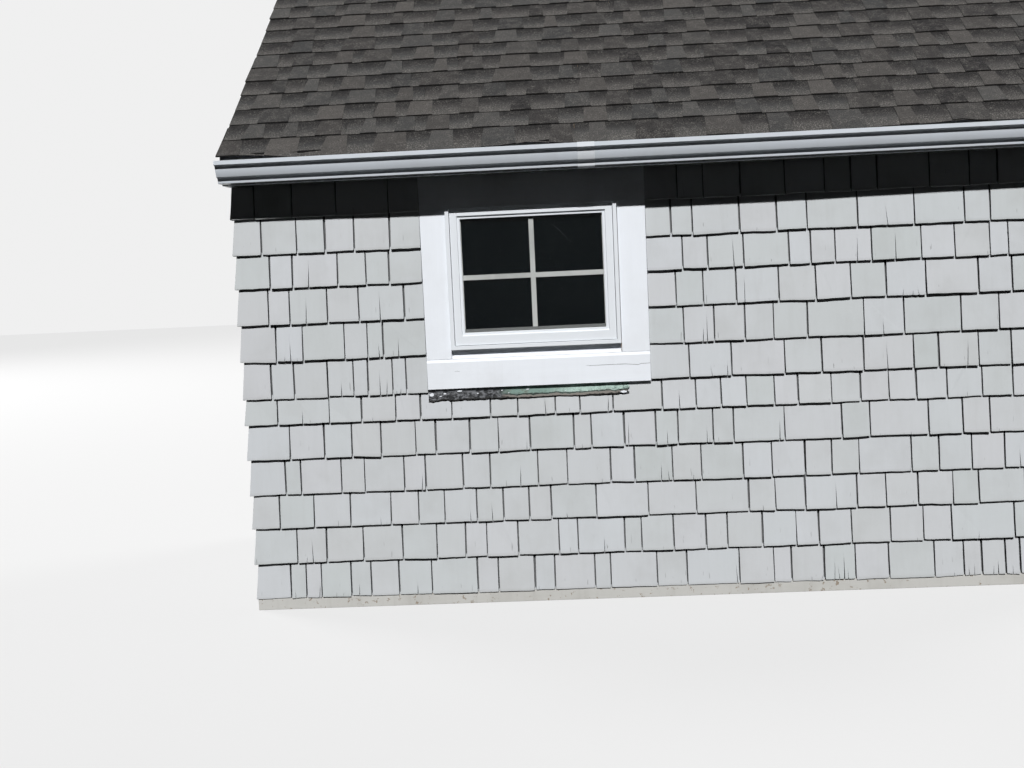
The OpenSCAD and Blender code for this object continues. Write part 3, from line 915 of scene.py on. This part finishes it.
# the eave's shingles lie flatter at a few kinks: middle, half width and share, and all along the right part
KINKS = ((-1.085, 0.05, 0.5), (-0.505, 0.13, 0.95), (1.075, 0.12, 1.0))
FLATTER_FROM, FLATTER = 0.78, 0.55


def on_roof(x, s, t):
    """A point on the roof: s up the slope from the eave, t above the deck."""
    return (x, EAVE_Y + s * RCOS - t * RSIN, DECK_Z0 + s * RSIN + t * RCOS)


def wave(x, k):
    """How far a butt line strays up or down the slope."""
    return (ripple(x * 2.2, k * 3.7, 0) * 6.0 + ripple(x * 8, k * 5.1, 4) * 2.4) * MM


def eave_drop(x):
    """How far the old shingles droop into the gutter at a place, starting a little in from the left end."""
    closed = share_of((x + 1.57) / 0.15)
    for middle, reach, share in KINKS:
        closed = min(closed, 1 - share * max(0.0, 1 - abs(x - middle) / reach))
    return DROOP * min(closed, 1.0 if x < FLATTER_FROM else FLATTER)


def on_eave(x, s, t):
    """The same point for the eave course, whose free edge droops."""
    x, y, z = on_roof(x, s, t)
    return (x, y, z - eave_drop(x) * max(0.0, 1 - s / FREE_EDGE))


print("slope length in m", round(RIDGE, 3))

# %% Lay the roof
# a sheet's front and rear height above the deck at its butt, and its front height at its upper end
STRIP, TAB = (7.2 * MM, 4.6 * MM, 0.9 * MM), (10.7 * MM, 7.0 * MM, 3.6 * MM)
STRIP_LONG, EAVE_STRIP_LONG, CUT_WIDE = 1.0, 0.24, 0.7 * MM
# usual width, spread, least and greatest width of a tab and of the recess beside it
TAB_WIDE, RECESS_WIDE = (0.102, 0.024, 0.062, 0.17), (0.096, 0.030, 0.035, 0.17)


def roof_slab(stock, x0, x1, k, sheet, s_end, tint, slant0=0.0, slant1=0.0, step=30 * MM):
    """One strip or tab of course k. slant0 and slant1 lean its ends."""
    s0, (front_t, rear_t, thin_t) = k * ROOF_COURSE, sheet
    s_mid = FREE_EDGE if k == 0 else s0 + (s_end - s0) * 0.5
    lean = (s_mid - s0) / (s_end - s0)
    count = max(2, int((x1 - x0) / step))
    lowest = 0.0 if k == 0 else -9 * MM
    butt = []
    for j in range(count + 1):
        x = x0 + (x1 - x0) * j / count
        butt.append((x, s0 + max(lowest, 1.0 * MM + wave(x, k))))
    ends = [(x1 + slant1 * lean, s_mid), (x1 + slant1, s_end)]
    ends += [(x0 + slant0, s_end), (x0 + slant0 * lean, s_mid)]

    def face(x, s):
        return front_t - (front_t - thin_t) * (s - s0) / (s_end - s0)

    def rear(x, s):
        return rear_t - (rear_t - 0.2 * MM) * (s - s0) / (s_end - s0)

    place, crease = (on_eave, (count + 1, count + 4)) if k == 0 else (on_roof, None)
    s_next = s0 + ROOF_COURSE
    add_slab(stock, place, butt + ends, face, rear, 0.5 * MM, tint, s0, s_next, crease=crease)


rng = random.Random(74)
strip_stock, tab_stock = new_stock(), new_stock()
for k in range(COURSES):
    tab_end = min((k + 1) * ROOF_COURSE + 22 * MM, RIDGE)
    strip_end = min((k + 1.9) * ROOF_COURSE, RIDGE)
    left_end = -roof_half + (rng.uniform(0, 9) * MM if k else 0)
    right_end = roof_half - rng.uniform(0, 7) * MM
    x, cut = left_end, left_end + rng.uniform(0.25, 1.0)
    while x < right_end - 0.01:
        stop = cut if right_end - cut >= 0.15 else right_end
        roof_slab(strip_stock, x, stop - CUT_WIDE, k, STRIP, strip_end, rng.random(), step=50 * MM)
        x, cut = stop, stop + (STRIP_LONG if k else EAVE_STRIP_LONG)
    x = left_end + (0 if rng.random() < 0.5 else rng.uniform(0.05, 0.15))
    while x < right_end - 0.05:
        stop = min(x + drawn(rng, *TAB_WIDE), right_end)
        slant = rng.uniform(4, 14) * MM
        slants = (0 if x <= left_end else slant, 0 if stop >= right_end else -slant)
        roof_slab(tab_stock, x, stop, k, TAB, tab_end, rng.random(), *slants)
        x = stop + drawn(rng, *RECESS_WIDE)
print("roof: strips", len(strip_stock["faces"]), "tabs", len(tab_stock["faces"]))

# %% Material: roof granules
# black of cut asphalt, also used as painted shade just under each butt line
CUT_EDGE_AND_SHADE_BLACK = grey(0.006)


def shade_recess(base, rise, coarse):
    """The factory's shadow band at the top of a recess, and paler granules at its foot."""
    band = ramp(maths("ADD", rise, times(coarse, 0.3)), 0.45, 1.02)
    base = coat(base, band, 0.92, (0.018, 0.0175, 0.018))
    base = blend_colour(ramp(rise, 0.5, 0.05, 0.0, 0.6), base, (0.094, 0.090, 0.085))
    speckle = times(ramp(coarse, 0.52, 0.66), ramp(rise, 0.55, 0.1))
    return coat(base, speckle, 0.75, (0.21, 0.20, 0.185))


def make_roof_finish(name, light, dark, shaded):
    """Granules in two greys, a tint for each slab, black asphalt at its cuts, and painted shade under each
    butt.
    """
    finish, shader, place = start_finish(name, 0.93, 0.06)
    tint, rise, edge = attribute(shader, "tint"), attribute(shader, "rise"), attribute(shader, "edge")
    grit = use(granule_group, Place=place, Size=520.0)
    coarse = noise_at(place, 190.0, 2.0, 0.7)
    mottle = noise_at(place, 26.0, 4.0, 0.6)
    base = blend_colour(tint, dark, light)
    base = coat(base, ramp(shuffled(tint), 0.3, 0.9), 0.5, (0.062, 0.065, 0.066))
    base = coat(base, ramp(mottle, 0.4, 0.68), 0.3, light)
    if shaded:
        base = shade_recess(base, rise, coarse)
    base = coat(base, grit["Light"], 0.25, (0.15, 0.14, 0.13))
    patches = ramp(mottle, 0.42, 0.6, 0.11, 0.55)
    base = coat(base, ramp(coarse, 0.5, 0.66), patches, (0.20, 0.19, 0.175))
    base = coat(base, grit["Dark"], 0.4, grey(0.012))
    # a black band just under the next butt line: painted shade beneath the butt above
    base = coat(base, ramp(rise, 0.975, 1.01), 0.85, CUT_EDGE_AND_SHADE_BLACK)
    paint(shader, coat(base, ramp(edge, 0.3, 0.9), 0.97, CUT_EDGE_AND_SHADE_BLACK))
    emboss(shader, grit["Height"], 0.8 * MM, 0.7)
    return finish


strip_finish = make_roof_finish("roof_strip_granules", (0.060, 0.057, 0.056), (0.027, 0.026, 0.027), True)
tab_finish = make_roof_finish("roof_tab_granules", (0.082, 0.077, 0.073), (0.019, 0.0185, 0.0195), False)
for name, stock, finish in (("roof_strips", strip_stock, strip_finish), ("roof_tabs", tab_stock, tab_finish)):
    keep(name, stock_mesh(stock, name), finish, ["roof_shingles"])
print("roof covered in", COURSES, "courses")

# %% [markdown]
# ## Gutter, fascia and trim
# Painted boards and folded metal are already right in the frame, so each is copied, its edges are rounded
# and it gets a finish. White trim paint has a slight shine and shows a trace of the grain. The gutter's
# enamel is cooler and more even, with chalky dust on the level parts and rain streaks on its face, and its
# underside is painted dark grey as shade.

# %% Material: trim paint
UPRIGHT, LEVEL, NO_GRAIN = (22, 22, 1.2), (1.2, 22, 22), (0.3, 0.3, 0.3)


def make_trim_paint(name, colour, along, wear=0.0, dirt=0.12, streaks=0.1, rough=0.42, relief=0.6):
    """Paint or enamel: faint grain drawn out along a board, grime, and bare wood where it is worn."""
    finish, shader, place = start_finish(name, rough, 0.1)
    grain = use(grain_group, Place=stretched(place, along), Fineness=1.2, Knots=0.2)
    grime = use(grime_group, Place=place, Size=4.0, Streaks=streaks)
    worn = use(worn_group, Place=place, Wear=wear, Size=46.0)
    shaded = tuple(c * 0.72 for c in colour)
    base = blend_colour(times(grain["Grain"], 0.07), colour, shaded)
    base = coat(base, grime["Mask"], dirt, (0.36, 0.35, 0.32))
    paint(shader, blend_colour(worn["Bare"], base, (0.30, 0.25, 0.20)))
    roughen(shader, grime["Mask"], rough - 0.08, rough + 0.2)
    height = maths("SUBTRACT", times(grain["Height"], 0.5), worn["Bare"])
    emboss(shader, height, relief * MM, 0.5)
    return finish


def over_coat(finish, axis, start, full, colour):
    """Brushes a colour over a finish, from start on and all of it past full, along one axis of the frame."""
    shader = finish.node_tree.nodes["Principled BSDF"]
    along = along_axis(put(finish.node_tree, "ShaderNodeTexCoord").outputs["Object"], axis)
    clean = shader.inputs["Base Color"].links[0].from_socket
    paint(shader, blend_colour(ramp(along, start, full), clean, colour))


def make_enamel(name, colour, **values):
    """Baked enamel or vinyl, which has no grain and is smooth."""
    return make_trim_paint(name, colour, NO_GRAIN, relief=values.pop("relief", 0.15), **values)


TRIM_WHITE = (0.80, 0.83, 0.875)
trim_upright = make_trim_paint("trim_paint_upright", TRIM_WHITE, UPRIGHT, dirt=0.10, streaks=0.25)
trim_level = make_trim_paint("trim_paint_level", TRIM_WHITE, LEVEL, wear=0.05, dirt=0.14, streaks=0.3)
base_wear = {"wear": 0.34, "dirt": 0.4, "streaks": 0.5, "rough": 0.6}
base_paint = make_trim_paint("base_board_paint", (0.54, 0.535, 0.51), LEVEL, **base_wear)
# the soffit board is painted near-black: painted shade under the eave
soffit_shade_look = {"dirt": 0.3, "streaks": 0.2, "rough": 0.8}
soffit_painted_shade = make_trim_paint("soffit_painted_shade", (0.045, 0.052, 0.045), LEVEL, **soffit_shade_look)
gutter_enamel = make_enamel("gutter_enamel", (0.61, 0.65, 0.70), streaks=0.5, rough=0.32)
sleeve_enamel = make_enamel("sleeve_enamel", (0.74, 0.77, 0.81), wear=0.06, streaks=0.5, rough=0.32)
# the drip edge's white enamel is painted dark grey: painted shade under the shingles' overhang, with grime
shaded_dirty_enamel = make_enamel("shaded_dirty_enamel", grey(0.10), dirt=0.5, streaks=0.5, rough=0.7)
window_vinyl = make_enamel("window_vinyl", (0.73, 0.76, 0.795), dirt=0.06, rough=0.36, relief=0.1)
print("trim finishes ready")

# %% Dress the trim and the gutter


def clear_of_frame(x, y, z):
    """Leaves a hair joint between a casing and the window frame."""
    if cas_x0 + 1 * MM < x < frame_lo[0] + 10 * MM:
        return (x - 1.2 * MM, y, z)
    return (x + 2.4 * MM, y, z) if frame_hi[0] - 10 * MM < x < cas_x1 - 1 * MM else (x, y, z)


def lean_back(x, y, z):
    """Leans the sill's nose back, so that its whole front sheds the rain."""
    if y > apron_face + 3 * MM:
        return (x, y, z)
    return (x, apron_face + (5 * MM if z < apron_hi[2] + 1 * MM else 14 * MM), z)


dress("casing_left casing_right", trim_upright, 1.6, reshape=clear_of_frame)
dress("head_board fascia", trim_level, 1.6)
dress("window_sill", trim_level, 0.4, reshape=lean_back)
dress("apron_board", trim_level, 0.5)
dress("soffit", soffit_painted_shade, 1.0)
dress("left_rake_board right_rake_board", trim_level, 1.6)
dress("base_board left_base_board right_base_board", base_paint, 1.6)
gutter_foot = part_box("gutter_trough")[0][2]
# the gutter's underside is painted dark grey: painted shade
over_coat(gutter_enamel, 2, gutter_foot + 0.9 * MM, gutter_foot + 0.2 * MM, (0.09, 0.095, 0.10))
dress("gutter_trough gutter_left_end gutter_right_end", gutter_enamel, 0.35, 1, 35)
dress("gutter_sleeve", sleeve_enamel, 0.35, 1, 35)
dress("drip_edge", shaded_dirty_enamel, 0.3, 1, 35)
dress("window_frame sash", window_vinyl, 1.0)
print("trim dressed")

# %% [markdown]
# ## Timber and boards behind
# From the back the dormer is an open frame: studs, plates, rafters and plywood. Sawn spruce is pale with
# long grain and knots, and rotary-cut plywood has wide, wandering figure. Its edges are sawn, so a small
# rounding is enough. The deck's edge, which shows beside the rake boards, is brushed with their paint.

# %% Materials: spruce and plywood


def make_timber(name, along, pale=(0.50, 0.36, 0.21), deep=(0.30, 0.18, 0.085), knots=0.5, fineness=1.0):
    """Raw wood: grain drawn out along the piece, with a little grime."""
    finish, shader, place = start_finish(name, 0.7)
    grain = use(grain_group, Place=stretched(place, along), Fineness=fineness, Knots=knots)
    grime = use(grime_group, Place=place, Size=2.5, Streaks=0.1)
    base = blend_colour(grain["Grain"], pale, deep)
    paint(shader, coat(base, grime["Mask"], 0.3, (0.16, 0.11, 0.07)))
    emboss(shader, grain["Height"], 0.8 * MM, 0.6)
    return finish


timber_up = make_timber("spruce_upright", (16, 16, 0.9))
timber_across = make_timber("spruce_level", (0.9, 16, 16))
timber_deep = make_timber("spruce_front_to_back", (16, 0.9, 16))
ply = make_timber("plywood", (1.2, 2.6, 2.6), (0.46, 0.32, 0.18), (0.31, 0.19, 0.09), 1.6, 0.7)
deck_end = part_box("roof_deck")[1][0]
for way in (1, -1):
    over_coat(ply, 0, way * (deck_end - 2 * MM), way * (deck_end - 1 * MM), (0.42, 0.42, 0.41))
dress("front_studs left_studs right_studs", timber_up, 2, 1)
dress("front_plates window_header rough_sill ridge_board", timber_across, 2, 1)
dress("rafters left_plates right_plates", timber_deep, 2, 1)
dress("front_sheathing left_sheathing right_sheathing roof_deck", ply, 0.6, 1)
print("timber dressed")

# %% [markdown]
# ## Glass, bars and small parts
# The window has a sealed double unit with flat bars between the panes. From outside in daylight a room
# behind is nearly black, so the front pane is almost clear, and the rear one is a dark glass that still
# reflects: painted shade for the unlit room. The bars' heads are painted near-black as the sash's shade,
# and their foot stands on the dull spacer.

# %% Materials: glass, bars, packing and hangers


def make_glass(name, clear):
    """Window glass. The front pane lets the bars behind it show, and the rear one is dark as painted room
    shade.
    """
    finish, shader, place = start_finish(name, 0.03, 0.03)
    shader.inputs["IOR"].default_value = 1.5
    film = use(grime_group, Place=place, Size=6.0, Streaks=0.3)["Mask"]
    dark, dusty = (0.002, 0.004, 0.005), (0.04, 0.05, 0.05)
    paint(shader, blend_colour(times(film, 0.08), dark, dusty))
    roughen(shader, film, 0.02, 0.09)
    if clear:
        join(ramp(film, 0.0, 1.0, 0.10, 0.15), shader.inputs["Alpha"])
    else:
        # the rear pane stays dark and mostly opaque: painted shade of the room behind
        shader.inputs["Transmission Weight"].default_value = 0.2
    return finish


dress("outer_pane", make_glass("outer_glass", True), 0.5, 1)
dress("inner_pane", make_glass("inner_glass", False), 0.5, 1)
bar_enamel = make_enamel("bar_enamel", (0.72, 0.74, 0.72), rough=0.4, relief=0.1)
bars_foot, bars_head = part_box("window_bars")[0][2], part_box("window_bars")[1][2]
over_coat(bar_enamel, 2, bars_foot + 24 * MM, bars_foot + 21 * MM, (0.20, 0.21, 0.205))
# the bars' top end is painted near-black: painted shadow of the sash head
over_coat(bar_enamel, 2, bars_head - 20 * MM, bars_head - 17 * MM, grey(0.01))
dress("window_bars", bar_enamel, 1.2)
packing = make_trim_paint("gap_packing", (0.80, 0.82, 0.85), (1.5, 20, 20), dirt=0.1, rough=0.75)
dress("gap_strip", packing, 0.5, 1)
bare_metal, shader, place = start_finish("bare_aluminium", 0.4)
shader.inputs["Metallic"].default_value = 1.0
film = use(grime_group, Place=place, Size=14.0, Streaks=0.1)["Mask"]
paint(shader, blend_colour(times(film, 0.6), (0.66, 0.67, 0.68), (0.32, 0.31, 0.30)))
roughen(shader, film, 0.3, 0.65)
dress("gutter_hangers", bare_metal, 0.5, 1)
print("window and hangers dressed")

# %% [markdown]
# ## Copper flashing
# Under the apron board a strip of sheet copper turns the water out over the shingles. It has gone pale
# green, its right end is torn and crumpled, and its left part is smeared with lumpy black roofing tar in
# which flakes of white paint are caught. Thin beaten sheet is never flat, so the strip is a fine grid that
# is bent along a profile and dented with noise.

# %% Bend the copper
COPPER_END = cas_x1 - 84 * MM
COPPER_TOP, COPPER_FOOT = apron_foot - 0.6 * MM, apron_foot - 45 * MM
HUG, KICK, BEND = 16 * MM, 30 * MM, 0.34
SHEET, TEAR_LONG = 1.2 * MM, 55 * MM
TAR_END, TAR_FADE = -0.58, 0.14
ALONG, DOWN = 300, 12


def kicked(f):
    """How far the copper stands off the boards: it hugs them at first, and then kicks out."""
    return HUG + (KICK - HUG) * max(0.0, (f - BEND) / (1 - BEND))


def copper_point(x, f, inward):
    """A point of the strip: f runs from 0 under the apron board to 1 at the foot."""
    torn = max(0.0, 1 - (COPPER_END - x) / TEAR_LONG)
    tarry = share_of((TAR_END - x) / TAR_FADE)
    ragged = ripple(x * 24, 2.0, 0.5) * 3.5 + ripple(x * 95, 7.0, 0.5) * 1.4
    foot = COPPER_FOOT + (ragged + 3 * tarry * ripple(x * 60, 3.0, 2.5)) * MM + 5 * MM * torn
    lump = ripple(x * 70, f * 2.6, 1.5) * (1.0 + 3.0 * tarry) + ripple(x * 120, f * 4, 8.5) * 9 * torn
    loose = min(1.0, 2 * max(0.0, (f - BEND) / (1 - BEND)))
    hem = 1.6 * share_of((f - 0.70 - 0.06 * ripple(x * 30, 5.0, 4.0)) / 0.05)
    height = COPPER_TOP + (foot - COPPER_TOP) * f
    deep = kicked(f) + bulge(x, height) + (lump * loose - hem) * MM
    end = COPPER_END - abs(ripple(f * 4.0, 1.0, 3.3)) * 14 * MM
    x = cas_x0 + (x - cas_x0) * (end - cas_x0) / (COPPER_END - cas_x0)
    return (x, wall_y - max(deep, HUG + bulge(x, height) - 1 * MM) + inward, height)


points, faces, down = [], [], []
for inward in (0.0, SHEET):
    for i in range(ALONG + 1):
        for j in range(DOWN + 1):
            points.append(copper_point(cas_x0 + (COPPER_END - cas_x0) * i / ALONG, j / DOWN, inward))
            down.append(j / DOWN)
rows, rear = DOWN + 1, (ALONG + 1) * (DOWN + 1)
for i in range(ALONG):
    for j in range(DOWN):
        a, b = i * rows + j, (i + 1) * rows + j
        faces += [(a, a + 1, b + 1, b), (rear + a, rear + b, rear + b + 1, rear + a + 1)]
for i in range(ALONG):
    for a, b in ((i * rows + rows, i * rows), (i * rows + DOWN, i * rows + rows + DOWN)):
        faces.append((a, b, rear + b, rear + a))
for j in range(DOWN):
    for a, b in ((j, j + 1), (ALONG * rows + j + 1, ALONG * rows + j)):
        faces.append((a, rear + a, rear + b, b))
copper_mesh = bpy.data.meshes.new("copper_flashing")
copper_mesh.from_pydata(points, [], faces)
copper_mesh.attributes.new("down", "FLOAT", "POINT").data.foreach_set("value", down)
copper_mesh.update()
print("copper faces", len(faces))

# %% Material: weathered copper and tar


def green_copper(along, fall, blots, fine, specks):
    """Pale green patina with brown blots and dark specks, duller towards its left."""
    green = blend_colour(ramp(fine, 0.35, 0.65), (0.25, 0.34, 0.30), (0.44, 0.56, 0.51))
    green = blend_colour(ramp(along, -0.36, -0.52), green, (0.17, 0.25, 0.22))
    green = coat(green, ramp(blots, 0.52, 0.62), 0.4, (0.16, 0.15, 0.12))
    specks = times(ramp(specks, 0.56, 0.62), ramp(fall, 0.35, 0.65))
    return coat(green, specks, 0.75, (0.045, 0.042, 0.035))


def folded_foot(green, fall):
    """The brown folded lip, with a dark seam of painted shade in the fold and a black band of painted shade
    at its foot.
    """
    lip = blend_colour(ramp(fall, 0.74, 0.80), green, (0.19, 0.175, 0.16))
    # the dark seam and the black foot band are painted shade
    seam = times(ramp(fall, 0.64, 0.70), ramp(fall, 0.80, 0.74))
    lip = coat(lip, seam, 0.92, (0.015, 0.017, 0.015))
    return coat(lip, ramp(fall, 0.93, 0.97), 0.95, grey(0.008))


copper, shader, place = start_finish("copper_patina", 0.72, 0.15)
blots, fine = noise_at(place, 30.0, 6.0, 0.65), noise_at(place, 190.0, 4.0, 0.7)
along = along_axis(place, 0)
ragged = times(maths("SUBTRACT", blots, 0.5), 0.45)
fall = maths("ADD", attribute(shader, "down"), ragged)
green = green_copper(along, fall, blots, fine, noise_at(place, 115.0, 3.0, 0.7))
lip = folded_foot(green, fall)
lumps = noise_at(stretched(place, (0.6, 1, 1)), 105.0, 3.0, 0.6)
tar = blend_colour(ramp(lumps, 0.42, 0.60), (0.008, 0.009, 0.010), (0.13, 0.135, 0.145))
# the tar's foot is blackened: painted shade along the flashing's foot
tar = blend_colour(ramp(fall, 0.86, 0.93), tar, grey(0.006))
creases = noise_at(stretched(place, (1, 1, 1.7)), 60.0, 2.0)
crumple = maths("ABSOLUTE", maths("SUBTRACT", creases, 0.5))
near_tear = ramp(along, COPPER_END - 65 * MM, COPPER_END - 45 * MM)
tear = times(ramp(crumple, 0.05, 0.025), near_tear)
lip = coat(lip, tear, 0.93, (0.01, 0.012, 0.012))
bare = ramp(maths("ADD", along, times(blots, 0.16)), -0.60, -0.53)
paint(shader, blend_colour(bare, tar, lip))
roughen(shader, bare, 0.5, 0.8)
emboss(shader, fine, 1.6 * MM, 0.9)
keep("copper_flashing", copper_mesh, copper, ["copper_apron"])
print("copper laid")

# %% [markdown]
# ## Flakes, cracks and a pale line
# Small damage tells the age of the work: flakes of old white paint stuck in the tar and a long check that
# opened in the apron board's paint. A faint pale line runs across the upper right pane. Each one is a sliver
# of the wall's slab stock, drawn along its own line.

# %% Small damage
# flakes as (place, height, width, tallness), and lines as points, all in mm
FLAKES = [(-941, 840, 20, 15), (-889, 842, 15, 6), (-831, 850, 23, 6), (-905, 832, 9, 5), (-760, 838, 9, 4)]
FLAKES += [(-665, 846, 7, 4), (-638, 835, 8, 3), (-564, 846, 11, 5), (-416, 834, 7, 3), (-190, 822, 31, 9)]
CHECK = [(-332, 931.2), (-317, 929.4), (-268, 930), (-216, 930.2), (-178, 930), (-130, 925.6)]
CHECK += [(-116, 929.6), (-83, 930)]
SHORT_CHECK = [(-846, 929), (-836, 930), (-826, 928.6)]
PANE_LINE = [(-441, 1483), (-411, 1455), (-371, 1410)]
FLAKE_SIDES, FLAKE_THICK = 14, 4 * MM


def sliver(stock, line, wide, deep):
    """A thin, pointed slab along a line given in millimetres."""
    fine_line = []
    for (x0, z0), (x1, z1) in zip(line, line[1:]):
        fine_line += [(x0 + (x1 - x0) * f, z0 + (z1 - z0) * f) for f in (0, 0.25, 0.5, 0.75)]
    fine_line.append(line[-1])
    last = len(fine_line) - 1
    body = []
    for k, (x, z) in enumerate(fine_line):
        swell = min(1.0, 4 * k / last) * (0.7 + 0.5 * ripple(k * 0.9, x, 0))
        body.append((x * MM, z * MM, wide * MM * (0.25 + 0.75 * swell)))
    outline = [(x, z - w / 2) for x, z, w in body] + [(x, z + w / 2) for x, z, w in reversed(body)]
    sheet = (lambda u, v: deep, lambda u, v: deep - 0.3 * MM)
    foot = outline[0][1]
    add_slab(stock, front_place, outline, *sheet, 0.05 * MM, 0.5, foot, foot + 1.0)


def add_flake(stock, x, z, wide, tall, rng):
    """One flake of paint on the copper's face."""
    ring = []
    for k in range(FLAKE_SIDES):
        turn, reach = math.tau * k / FLAKE_SIDES, rng.uniform(0.36, 0.56)
        ring.append((x + wide * reach * math.cos(turn), z + tall * reach * math.sin(turn)))
    deep = kicked((COPPER_TOP - z) / (COPPER_TOP - COPPER_FOOT)) + FLAKE_THICK + bulge(x, z)
    sheet = (lambda u, v: deep, lambda u, v: deep - FLAKE_THICK)
    add_slab(stock, front_place, ring, *sheet, 0.5 * MM, rng.random(), z, z + 1.0)


def make_line_finish(name, rough, scale, dark, light):
    """A thin dark line is still mottled."""
    finish, shader, place = start_finish(name, rough)
    paint(shader, blend_colour(noise_at(place, scale), dark, light))
    return finish


rng = random.Random(8)
flake_stock, check_stock, pane_line_stock = new_stock(), new_stock(), new_stock()
for flake in FLAKES:
    add_flake(flake_stock, *(size * MM for size in flake), rng)
for line, wide in ((CHECK, 2.2), (SHORT_CHECK, 1.3)):
    sliver(check_stock, line, wide, wall_y - apron_face + 0.15 * MM)
# a faint pale line on the upper right pane
sliver(pane_line_stock, PANE_LINE, 0.9, wall_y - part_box("outer_pane")[0][1] + 0.1 * MM)
check_finish = make_line_finish("open_check", 0.8, 60.0, grey(0.05), (0.20, 0.20, 0.21))
pane_line_finish = make_line_finish("glass_pale_line", 0.5, 90.0, (0.02, 0.022, 0.024), (0.10, 0.11, 0.11))
keep("paint_flakes", stock_mesh(flake_stock, "paint_flakes"), trim_upright)
keep("apron_checks", stock_mesh(check_stock, "apron_checks"), check_finish)
keep("pane_pale_line", stock_mesh(pane_line_stock, "pane_pale_line"), pane_line_finish)
print("flakes", len(FLAKES))

# %% [markdown]
# ## Floor, lamps and world
# The part stands on a plain pale floor. One key lamp shines from the front, nearly halfway up the sky and a
# little to the right, as the sun did, so the gutter throws its shadow on the wall. Two wide, weak lamps
# behind light the sides. The world gives hardly any fill, and is pale only for what looks straight at it.

# %% The floor
FLOOR_HALF = 30


def looked_at(tree):
    """1 for rays that look at a surface, straight, through glass or by a shine, and 0 for its soft light."""
    path = put(tree, "ShaderNodeLightPath").outputs
    glassy = maths("MAXIMUM", path["Is Transmission Ray"], path["Is Glossy Ray"])
    return maths("MAXIMUM", path["Is Camera Ray"], glassy)


corners = [(x * FLOOR_HALF, y * FLOOR_HALF, 0) for x, y in ((-1, -1), (1, -1), (1, 1), (-1, 1))]
floor_mesh = bpy.data.meshes.new("floor")
floor_mesh.from_pydata(corners, [], [(0, 1, 2, 3)])
floor = show(bpy.data.objects.new("floor", floor_mesh))
floor_finish, shader, place = start_finish("floor_finish", 1.0, 0.0)
seen = looked_at(floor_finish.node_tree)
mottled = times(noise_at(place, 1.5, 3.0), 0.1)
pale = blend_colour(mottled, grey(0.15), grey(0.13))
paint(shader, blend_colour(seen, grey(0.006), pale))
glow = blend_colour(seen, grey(0.0), grey(0.67))
join(glow, shader.inputs["Emission Color"])
shader.inputs["Emission Strength"].default_value = 1.0
floor_mesh.materials.append(floor_finish)
print("floor laid")

# %% Lamps and world
LIT_POINT = Vector((0, 0, 1.3))
RING_HEIGHT = Vector((0, 0, 1.2))
LAMP_FAR, LAMP_WIDE, LAMP_POWER = 20, 9.0, 3300
SUN_SIDE, SUN_RISE, SUN_POWER, SUN_WIDE = 2.5, 39.6, 4.08, 1.2
SKY_SEEN, SKY_FILL = 0.864, 0.006


def towards(side, rise):
    """A direction: side is the angle from straight in front, rise the angle above the floor, in degrees."""
    side, rise = math.radians(side), math.radians(rise)
    return Vector((math.sin(side) * math.cos(rise), -math.cos(side) * math.cos(rise), math.sin(rise)))


def aimed(name, data, ray):
    """Sets up a lamp that shines along a ray."""
    made = show(bpy.data.objects.new(name, data))
    made.rotation_euler = ray.to_track_quat("-Z", "Y").to_euler()
    return made


sun = bpy.data.lights.new("key_lamp", "SUN")
sun.energy, sun.angle = SUN_POWER, math.radians(SUN_WIDE)
aimed("key_lamp", sun, -towards(SUN_SIDE, SUN_RISE))
for name, side in (("left_soft_lamp", -122), ("right_soft_lamp", 128)):
    lamp = bpy.data.lights.new(name, "AREA")
    lamp.shape, lamp.size, lamp.energy = "DISK", LAMP_WIDE, LAMP_POWER
    at = towards(side, 22) * LAMP_FAR + RING_HEIGHT
    aimed(name, lamp, LIT_POINT - at).location = at
world = bpy.data.worlds.new("world")
bpy.context.scene.world = world
world.use_nodes = True
sky = world.node_tree.nodes["Background"].inputs
strength = maths("ADD", times(looked_at(world.node_tree), SKY_SEEN), SKY_FILL)
join(strength, sky["Strength"])
sky["Color"].default_value = (1, 1, 1, 1)
bpy.context.scene.view_settings.view_transform = "Standard"
print("stage ready")
